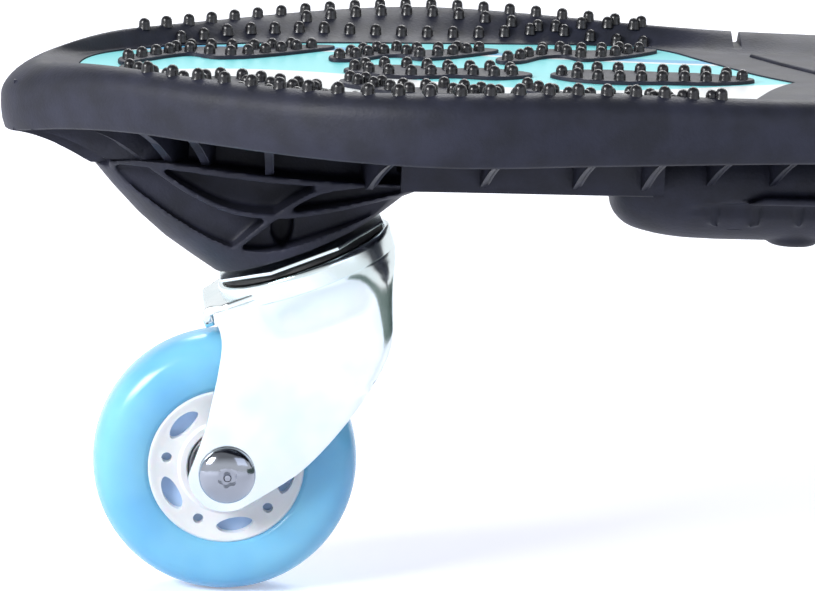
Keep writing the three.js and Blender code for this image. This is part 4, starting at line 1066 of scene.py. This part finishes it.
# Rear lip of the crown, bent down at its end
def makeLip():
    f = fork
    level, corner = f["crownTop"], f["lipCorner"]
    reach, radius = f["lipReach"], f["lipBend"]
    rootStart, rootRun = f["lipRoot"]
    flare = f["half"] - f["lipSide"] - f["lipHalf"]
    path = [(f["lipStart"], level), (-reach + radius, level)]
    path += [(-reach + radius - radius * math.sin(a), level - radius + radius * math.cos(a))
             for a in [math.radians(15 * i) for i in range(1, 6)]]
    path.append((-reach, level - f["lipDrop"]))
    line = evenly(path, f["lipSteps"])
    bm = bmesh.new()
    rows = []
    length = sum((b - a).length for a, b in zip(line, line[1:]))
    for i, point in enumerate(line):
        left = length * (1 - i / (len(line) - 1))
        tuck = corner - math.sqrt(max(corner ** 2 - max(corner - left, 0) ** 2, 0))
        half = f["lipHalf"] - tuck + flare * smoothStep((left - rootStart) / rootRun)
        rows.append([(point.x, half * (j / 8 - 1), point.y) for j in range(17)])
    skin(bm, rows, closed=False)
    clean(bm)
    upper = max(bm.faces, key=lambda face: face.calc_center_median().x)
    if upper.normal.z < 0:
        bmesh.ops.reverse_faces(bm, faces=bm.faces)
    solid = ("SOLIDIFY", {"thickness": f["lipThickness"], "offset": -1, "use_even_offset": True})
    return shaped(bm, [solid, rounding(f["lipEdge"], 3, 50)])


# Swivel bearing, plate and kingpin

swivel = {
    "plateSize": 49, "plateThickness": 2.5, "plateEdge": 1, "plateCorner": 1.2, "padRadius": 12,
    "upperBalls": (17, 3.7, 26), "lowerBalls": (9.5, 3.4, 15),
    "sealRadius": 24.2, "sealWidth": 4.5, "gap": 0.3, "raceRadius": 13, "raceThickness": 1.6, "pinRadius": 4,
    "headRadius": 7.5, "headHeight": 5, "pinReach": 18, "insertRadius": 7, "insertLength": 15,
    "insertDepth": 4,
}

def makePlate():
    w = swivel
    half = w["plateThickness"] / 2
    ledge = half - w["plateEdge"]
    radius = w["plateSize"] / 2 / math.cos(math.pi / 8)
    bm = slab(polygon(radius, 8, 0.5), -half, -ledge)
    standing = [edge for edge in bm.edges if abs(edge.verts[0].co.z - edge.verts[1].co.z) > 1]
    bevelEdges(bm, standing, w["plateCorner"], 4)
    bevelEdges(bm, sharpEdges(bm, 60), 0.25, 2)
    pad = tube(w["pinRadius"] + w["gap"], w["padRadius"], -ledge - 0.1, half, 0.3, 96)
    return join([bm, pad])

def makeBalls(radius, size, count, height):
    bm = bmesh.new()
    for x, y in polygon(radius, count):
        place = Matrix.Translation((x, y, height))
        bmesh.ops.create_icosphere(bm, subdivisions=2, radius=size / 2, matrix=place)
    return bm

def hexHead(radius, low, high, chamfer=0.6):
    bm = slab(polygon(radius, 6), low, high)
    bevelEdges(bm, sharpEdges(bm, 50), 0.3, 2)
    past = radius + 2
    cone = turned([(0, low - 1), (radius - chamfer, low - 0.01), (past, low + 2.6), (past, high + 1),
                   (0, high + 1)], 64)
    return common(bm, cone)

def makeSwivel(end):
    w = swivel
    gap, pin = w["gap"], w["pinRadius"]
    plateLow = -w["plateThickness"] / 2
    upperSize, lowerSize = w["upperBalls"][1], w["lowerBalls"][1]
    crownTop = plateLow - upperSize - 2 * gap
    crownLow = crownTop - fork["crownThickness"]
    raceTop = crownLow - lowerSize - 2 * gap
    raceLow = raceTop - w["raceThickness"]
    headTop = raceLow - gap
    low, high = crownTop + gap, plateLow - gap
    outer, inner = w["sealRadius"], w["sealRadius"] - w["sealWidth"]
    lip = [(inner, low), (outer - 1.4, low), (outer - 0.2, low + 0.9), (outer - 1.1, low + 1.7),
           (outer, (low + high) / 2 + 0.5), (outer - 0.3, high - 0.5), (outer - 0.9, high), (inner, high)]
    tip = w["pinReach"]
    root = headTop - 0.5
    shank = turned([(0, root), (pin, root), (pin, tip - 0.7), (pin - 0.7, tip), (0, tip)], 48)
    head = hexHead(w["headRadius"], headTop - w["headHeight"], headTop)
    insertLow = w["insertDepth"] + gap
    insertHigh = insertLow + w["insertLength"]
    race = tube(pin + gap, w["raceRadius"], raceLow, raceTop, 0.35, 72)
    sleeve = tube(pin + gap, w["insertRadius"], insertLow, insertHigh, 0.3, 48)
    upper = makeBalls(*w["upperBalls"], high - upperSize / 2)
    lower = makeBalls(*w["lowerBalls"], crownLow - gap - lowerSize / 2)
    table = [
        ("plate", makePlate(), "zinc", "mounting_plate", end),
        ("upper_balls", upper, "steel", "upper_ball_ring", end),
        ("seal", turned(lip, 96), "seal", "dust_seal", None),
        ("lower_balls", lower, "steel", "lower_ball_ring", None),
        ("race", race, "zinc", "lower_race", None),
        ("pin", join([shank, head]), "steel", "kingpin", None),
        ("sleeve", sleeve, "brass", "insert", None),
    ]
    for name, bm, slot, node, body in table:
        newPiece(end + "_" + name, bm, slot, [end + "_" + node], casterPlace[end], body)
    parts = join([makeForkSheet(), makeCrown(), makeLip()])
    newPiece(end + "_pressed_fork", parts, "zinc", [end + "_fork"], casterPlace[end], sharp=40)
    print("swivel", end, "made")


# Wheel, bearings and axle

wheel = {
    "radius": 38, "width": 24, "crownBend": 0.86, "shoulderBend": 0.72, "hubRadius": 22.4, "hubGap": 0.1,
    "barrel": 13.6, "rimInner": 20.2, "recess": 0.8, "shoulder": 9.5, "pocket": 5, "windows": 5, "turn": 42,
    "edge": 0.35, "eyeRadius": 1.5, "eyePlace": 17.2, "bearingRadius": 11, "bearingBore": 4.3,
    "bearingWidth": 7, "bearingSplit": 7.85, "bushRadius": 6.6, "spacerRadius": 5.6, "legInner": 17.6,
    "gap": 0.3, "flat": 28.5, "coreDepth": 3.2,
    "window": [
        (-17.5, 17.9), (-12, 19.2), (0, 19.8), (12, 19.2), (17.5, 17.9), (15.5, 16.7), (9, 15.6), (0, 15.2),
        (-9, 15.6), (-15.5, 16.7),
    ],
}
axle = {
    "radius": 4, "headRadius": 8.1, "headHeight": 4.5, "headEdge": 0.35, "domeStart": 0.9,
    "socketRadius": 2.9, "socketDepth": 2.2, "socketWave": 0.1, "socketSteps": 48, "pinRadius": 1.15,
    "pinTop": 0.85, "nutRadius": 7.4, "nutHeight": 6, "nutBore": 4.3, "collarRadius": 5.6, "tip": 2,
    "legOuter": 20.4,
}

def makeTyre():
    half = wheel["width"] / 2
    bore, flat = wheel["hubRadius"] - wheel["hubGap"], wheel["flat"]
    side = []
    for degrees in range(90, -1, -5):
        turn = math.radians(degrees)
        reach = flat + (wheel["radius"] - flat) * abs(math.cos(turn)) ** wheel["crownBend"]
        side.append((reach, half * max(math.sin(turn), 0) ** wheel["shoulderBend"]))
    upper = [(bore, half - 1.4), (bore + 0.35, half - 0.75), (bore + 1.5, half - 0.2)] + side
    lower = [(r, -h) for r, h in upper[:-1]][::-1]
    return turned(upper + lower, 144)

def makeHub():
    w = wheel
    half = w["width"] / 2
    seat = half - w["bearingWidth"] - w["gap"]
    webHalf = half - w["recess"]
    ring, barrel, rim = w["bearingRadius"], w["barrel"], w["hubRadius"]
    lipHigh = webHalf + 0.25
    upper = [(w["shoulder"], seat), (ring, seat), (ring, half - 0.4), (ring + 0.4, half),
             (barrel - 0.5, half), (barrel + 0.3, webHalf), (rim - 2, webHalf), (rim - 1.5, lipHigh),
             (rim - 0.5, lipHigh), (rim, webHalf - 0.3)]
    body = turned(upper + [(r, -h) for r, h in upper[::-1]], 120)
    cutters = []
    step = 360 / w["windows"]
    for i in range(w["windows"]):
        middle = w["turn"] + i * step
        corners = [(math.radians(middle + turn), reach) for turn, reach in w["window"]]
        corners = [(reach * math.cos(turn), reach * math.sin(turn)) for turn, reach in corners]
        window = closedCurve(corners, 4)
        spot = math.radians(middle + step / 2)
        eye = arc(w["eyePlace"] * math.cos(spot), w["eyePlace"] * math.sin(spot), w["eyeRadius"], 0, 345, 23)
        for outline in (window, eye):
            for side in (-1, 1):
                cutters.append(slab(outline, side * (webHalf - w["pocket"]), side * (half + 2)))
    return shaped(cut(body, [join(cutters)]), [rounding(w["edge"], 2, 55)])

# Urethane filling at the floor of the hub windows; its pale blue is partly painted shade for the deep window
# recesses
def makeShadedWindowFilling():
    half = wheel["width"] / 2 - wheel["recess"] - wheel["coreDepth"]
    return tube(wheel["barrel"] + 0.6, wheel["rimInner"] + 0.4, -half, half, 0.2, 96)

def makeBolt():
    a = axle
    low = a["legOuter"] + wheel["gap"]
    high = low + a["headHeight"]
    tip = -low - a["nutHeight"] - a["tip"]
    radius, wide, edge, start = a["radius"], a["headRadius"], a["headEdge"], a["domeStart"]
    dome = [(wide * x, low + start + (a["headHeight"] - start) * z) for x, z in arc(0, 0, 1, 0, 70, 10)]
    flat = dome[-1][1]
    body = turned([(0, tip), (radius - 0.6, tip), (radius, tip + 0.6), (radius, low), (wide - edge, low),
                   (wide, low + edge)] + dome + [(0, flat)], 96)
    lobes = []
    for i in range(a["socketSteps"]):
        turn = math.tau * i / a["socketSteps"]
        reach = a["socketRadius"] * (1 - a["socketWave"] + a["socketWave"] * math.cos(6 * turn))
        lobes.append((reach * math.cos(turn), reach * math.sin(turn)))
    floor = high - a["socketDepth"]
    body = cut(body, [slab(lobes, floor, high + 3)])
    pin = turned([(0, floor - 0.3), (a["pinRadius"], floor - 0.3), (a["pinRadius"], flat - 0.5),
                  (a["pinTop"], flat - 0.15), (0, flat - 0.05)], 32)
    return join([body, pin])

def makeNut():
    low = -axle["legOuter"] - wheel["gap"] - axle["nutHeight"]
    bm = hexHead(axle["nutRadius"], low, low + axle["nutHeight"])
    bore = axle["nutBore"]
    collar = tube(bore, axle["collarRadius"], low - 0.8, low + 0.4, 0.3, 48)
    hole = turned([(0, low - 3), (bore, low - 3), (bore, 0), (0, 0)], 48)
    return join([cut(bm, [hole]), collar])

def makeWheel(end):
    w = wheel
    half = w["width"] / 2
    seat = half - w["bearingWidth"]
    bore, gap = w["bearingBore"], w["gap"]
    table = [
        ("tyre_cast", makeTyre(), "tyre", ["tyre"], None),
        ("wheel_core", makeHub(), "hub", ["hub"], None),
        # The window filling's pale blue colour is partly painted shade in the hub windows
        ("window_filling", makeShadedWindowFilling(), "tyre", [], "core"),
        ("button_bolt", makeBolt(), "zinc", ["axle_bolt"], "bolt"),
        ("lock_nut", makeNut(), "zinc", ["axle_nut"], None),
        ("spacer", tube(bore, w["spacerRadius"], gap - seat, seat - gap), "steel", ["axle_spacer"], None),
    ]
    for name, side in (("near", 1), ("far", -1)):
        bush = tube(bore, w["bushRadius"], side * (half + gap), side * (w["legInner"] - gap))
        table.append((name + "_bush", bush, "spring", [name + "_axle_bush"], "steel"))
        inner = tube(bore, w["bearingSplit"] - gap, side * seat, side * half, 0.5)
        table.append((name + "_inner_race", inner, "steel", [name + "_bearing_inner"], None))
        outer = tube(w["bearingSplit"], w["bearingRadius"] - gap, side * seat, side * half, 0.5)
        table.append((name + "_outer_race", outer, "steel", [name + "_bearing_outer"], None))
    for name, bm, slot, nodes, look in table:
        nodes = [end + "_" + node for node in nodes]
        body = None if nodes else end + "_wheel"
        newPiece(end + "_" + name, bm, slot, nodes, wheelPlace[end], body, look)
    print("wheel", end, "made")

for end in ends:
    makeSwivel(end)
    makeWheel(end)


# Torsion parts along the middle

middle = {
    "tubeRadius": 13, "tubeBore": 11, "tubeInset": 2, "bushLength": 20, "bushThickness": 1.7, "bushInset": 3,
    "ringRadius": 21, "ridges": 3, "ridgeSteps": 8, "ridgeDepth": 0.9, "blockLength": 18, "barThickness": 2.5,
    "clampRadius": 3, "headRadius": 5.4, "headHeight": 2.7, "headEdge": 0.6, "socketRadius": 2.1,
    "socketDepth": 1.5, "tipGap": 2,
}

def makeMiddle():
    m = middle
    gap = swivel["gap"]
    lay = Matrix.Translation((0, 0, tubeHeight)) @ Matrix.Rotation(math.pi / 2, 4, "Y")
    start = spineEnd + m["tubeInset"] - halfLength
    stop = halfLength - bossPlace - m["blockLength"] / 2 - gap
    sleeve = tube(m["tubeBore"], m["tubeRadius"], start, stop, 0.4, 80)
    newPiece("pivot_tube", sleeve, "zinc", ["torsion_tube"], lay)
    bore = m["tubeRadius"] + gap
    begin = {"middle_bush": board["middleGap"] / 2 + m["bushInset"],
             "inner_bush": stop - m["bushInset"] - m["bushLength"]}
    for node, low in begin.items():
        bm = tube(bore, bore + m["bushThickness"], low, low + m["bushLength"], 0.4, 80)
        newPiece(node.replace("bush", "liner"), bm, "nylon", [node], lay)
    half = board["middleGap"] / 2 - gap
    ridge = []
    steps, depth = m["ridges"] * m["ridgeSteps"], m["ridgeDepth"]
    for i in range(steps + 1):
        wave = math.cos(math.tau * m["ridges"] * i / steps + math.pi)
        ridge.append((m["ringRadius"] - depth + depth * wave, -half + 2 * half * i / steps))
    bm = turned([(bore, -half)] + ridge + [(bore, half)], 96)
    newPiece("bellows_ring", bm, "seal", ["middle_ring"], lay)
    finishNode("torsion_bar", "spring")
    wide, shank = m["headRadius"], m["clampRadius"]
    head = bossLow + m["headHeight"]
    tip = tubeHeight - m["barThickness"] / 2 - m["tipGap"]
    edge = m["headEdge"]
    dome = [(wide * x, head - edge - (m["headHeight"] - edge) * z) for z, x in arc(0, 0, 1, 15, 87, 8)]
    dome[0] = (dome[0][0], bossLow)
    for end, place in (("front", bossPlace - halfLength), ("rear", halfLength - bossPlace)):
        bm = turned([(0, bossLow)] + dome + [(wide, head), (shank, head), (shank, tip), (0, tip)], 64)
        bm = cut(bm, [slab(polygon(m["socketRadius"], 6), bossLow - 1, bossLow + m["socketDepth"])])
        newPiece(end + "_clamp_screw", bm, "zinc", [end + "_clamp_bolt"], Matrix.Translation((place, 0, 0)),
                 look="bolt")

def finishNode(node, look):
    mesh = frame["nodes"][node].data
    mesh.materials.clear()
    mesh.materials.append(finish[look])

makeMiddle()
for end in ends:
    finishNode(end + "_bar_block", "steel")
print("middle made")


# Studio

studio = {
    "plainLevel": 0.36, "ceilingLevel": 0.3, "wallHeights": (0.25, 0.6), "floorSize": 6, "floorGlow": 0.35,
    "farGlow": 1, "glowReach": (0.9, 2.8), "cardHalf": 0.5, "cardScale": (1, 0.6, 0.09, 1),
    "cardPlace": (0.12, -0.05, 0.047),
    # Place, target, size, watts and colour
    "lamps": {
        "keyLamp": ((-1.45, -0.85, 0.85), (-0.2, 0, 0.08), (0.7, 0.5), 25.6, "#FFFFFF"),
        "fillLamp": ((0.9, -1.3, 0.9), (-0.1, 0, 0.1), (1.2, 0.8), 3.2, "#E2EBFF"),
        "backLamp": ((0.1, 1.3, 1.2), (-0.1, 0, 0.15), (1.6, 0.6), 20, "#FFFFFF"),
    },
}

def makeWorld():
    world = bpy.data.worlds.new("studio")
    bpy.context.scene.world = world
    tree = clearTree(world)
    ray = addNode(tree, "ShaderNodeLightPath")
    around = addNode(tree, "ShaderNodeTexCoord").outputs["Generated"]
    apart = addNode(tree, "ShaderNodeSeparateXYZ", links={0: around})
    low, high = studio["wallHeights"]
    settings = {"From Min": low, "From Max": high, "To Min": 1, "To Max": studio["ceilingLevel"]}
    height = addNode(tree, "ShaderNodeMapRange", settings, {"Value": apart.outputs["Z"]})
    seen = addNode(tree, "ShaderNodeBackground", {"Color": linear("#FFFFFF"), "Strength": 1})
    settings = {"Color": linear("#FBFDFF")}
    glossy = addNode(tree, "ShaderNodeBackground", settings, {"Strength": height.outputs[0]})
    settings = {"Color": linear("#F4F7FF"), "Strength": studio["plainLevel"]}
    plain = addNode(tree, "ShaderNodeBackground", settings)
    links = {0: ray.outputs["Is Glossy Ray"], 1: plain.outputs[0], 2: glossy.outputs[0]}
    mirror = addNode(tree, "ShaderNodeMixShader", links=links)
    links = {0: ray.outputs["Is Camera Ray"], 1: ray.outputs["Is Transmission Ray"]}
    direct = addNode(tree, "ShaderNodeMath", {"operation": "MAXIMUM"}, links)
    links = {0: direct.outputs[0], 1: mirror.outputs[0], 2: seen.outputs[0]}
    mixed = addNode(tree, "ShaderNodeMixShader", links=links)
    addNode(tree, "ShaderNodeOutputWorld", links={"Surface": mixed.outputs[0]})

# A flat sheet of the studio, with its material's empty tree
def studioSheet(name, materialName, half, place):
    bm = bmesh.new()
    bmesh.ops.create_grid(bm, x_segments=1, y_segments=1, size=half)
    bm.transform(place)
    material = bpy.data.materials.new(materialName)
    mesh = meshOf(name, bm)
    mesh.materials.append(material)
    return placed(name, mesh), clearTree(material)

# Pale floor that glows more the further it is from the board and is clear from below
def makeFloor():
    floor, tree = studioSheet("floor", "paleSweep", studio["floorSize"], Matrix.Identity(4))
    ray = addNode(tree, "ShaderNodeLightPath")
    paint = addNode(tree, "ShaderNodeBsdfDiffuse", {"Color": linear("#F3F4FA")})
    spot = addNode(tree, "ShaderNodeTexCoord").outputs["Object"]
    away = addNode(tree, "ShaderNodeVectorMath", {"operation": "LENGTH"}, {0: spot}).outputs["Value"]
    near, far = studio["glowReach"]
    settings = {"From Min": near, "From Max": far, "To Min": studio["floorGlow"], "To Max": studio["farGlow"]}
    strength = addNode(tree, "ShaderNodeMapRange", settings, {"Value": away}).outputs["Result"]
    glow = addNode(tree, "ShaderNodeEmission", {"Color": linear("#F6F7FF")}, {"Strength": strength})
    both = addNode(tree, "ShaderNodeAddShader", links={0: paint.outputs[0], 1: glow.outputs[0]})
    links = {0: ray.outputs["Is Camera Ray"], 1: ray.outputs["Is Glossy Ray"]}
    either = addNode(tree, "ShaderNodeMath", {"operation": "MAXIMUM"}, links)
    dull = addNode(tree, "ShaderNodeBsdfDiffuse", {"Color": linear("#D6D8E2")})
    links = {0: either.outputs[0], 1: dull.outputs[0], 2: both.outputs[0]}
    upper = addNode(tree, "ShaderNodeMixShader", links=links)
    back = addNode(tree, "ShaderNodeNewGeometry").outputs["Backfacing"]
    clear = addNode(tree, "ShaderNodeBsdfTransparent")
    final = addNode(tree, "ShaderNodeMixShader", links={0: back, 1: upper.outputs[0], 2: clear.outputs[0]})
    addNode(tree, "ShaderNodeOutputMaterial", links={"Surface": final.outputs[0]})

# Dark card low on the right, seen only in reflections: it draws the dark strip down the bend of the fork
def makeCard():
    place = Matrix.Translation(studio["cardPlace"]) @ Matrix.Diagonal(studio["cardScale"])
    place = place @ Matrix.Rotation(math.pi / 2, 4, "Y")
    card, tree = studioSheet("card", "darkCard", studio["cardHalf"], place)
    paint = addNode(tree, "ShaderNodeBsdfDiffuse", {"Color": linear("#5E6E66")})
    addNode(tree, "ShaderNodeOutputMaterial", links={"Surface": paint.outputs[0]})
    card.visible_camera = card.visible_diffuse = card.visible_shadow = False

def addLamp(name, place, target, size, power, colour):
    data = bpy.data.lights.new(name, "AREA")
    data.shape = "RECTANGLE"
    data.size, data.size_y = size
    data.energy = power
    data.color = linear(colour)[:3]
    lamp = placed(name, data)
    lamp.location = place
    lamp.rotation_euler = (Vector(target) - Vector(place)).to_track_quat("-Z", "Y").to_euler()

makeWorld()
makeFloor()
makeCard()
for name, values in studio["lamps"].items():
    addLamp(name, *values)
print("studio made")
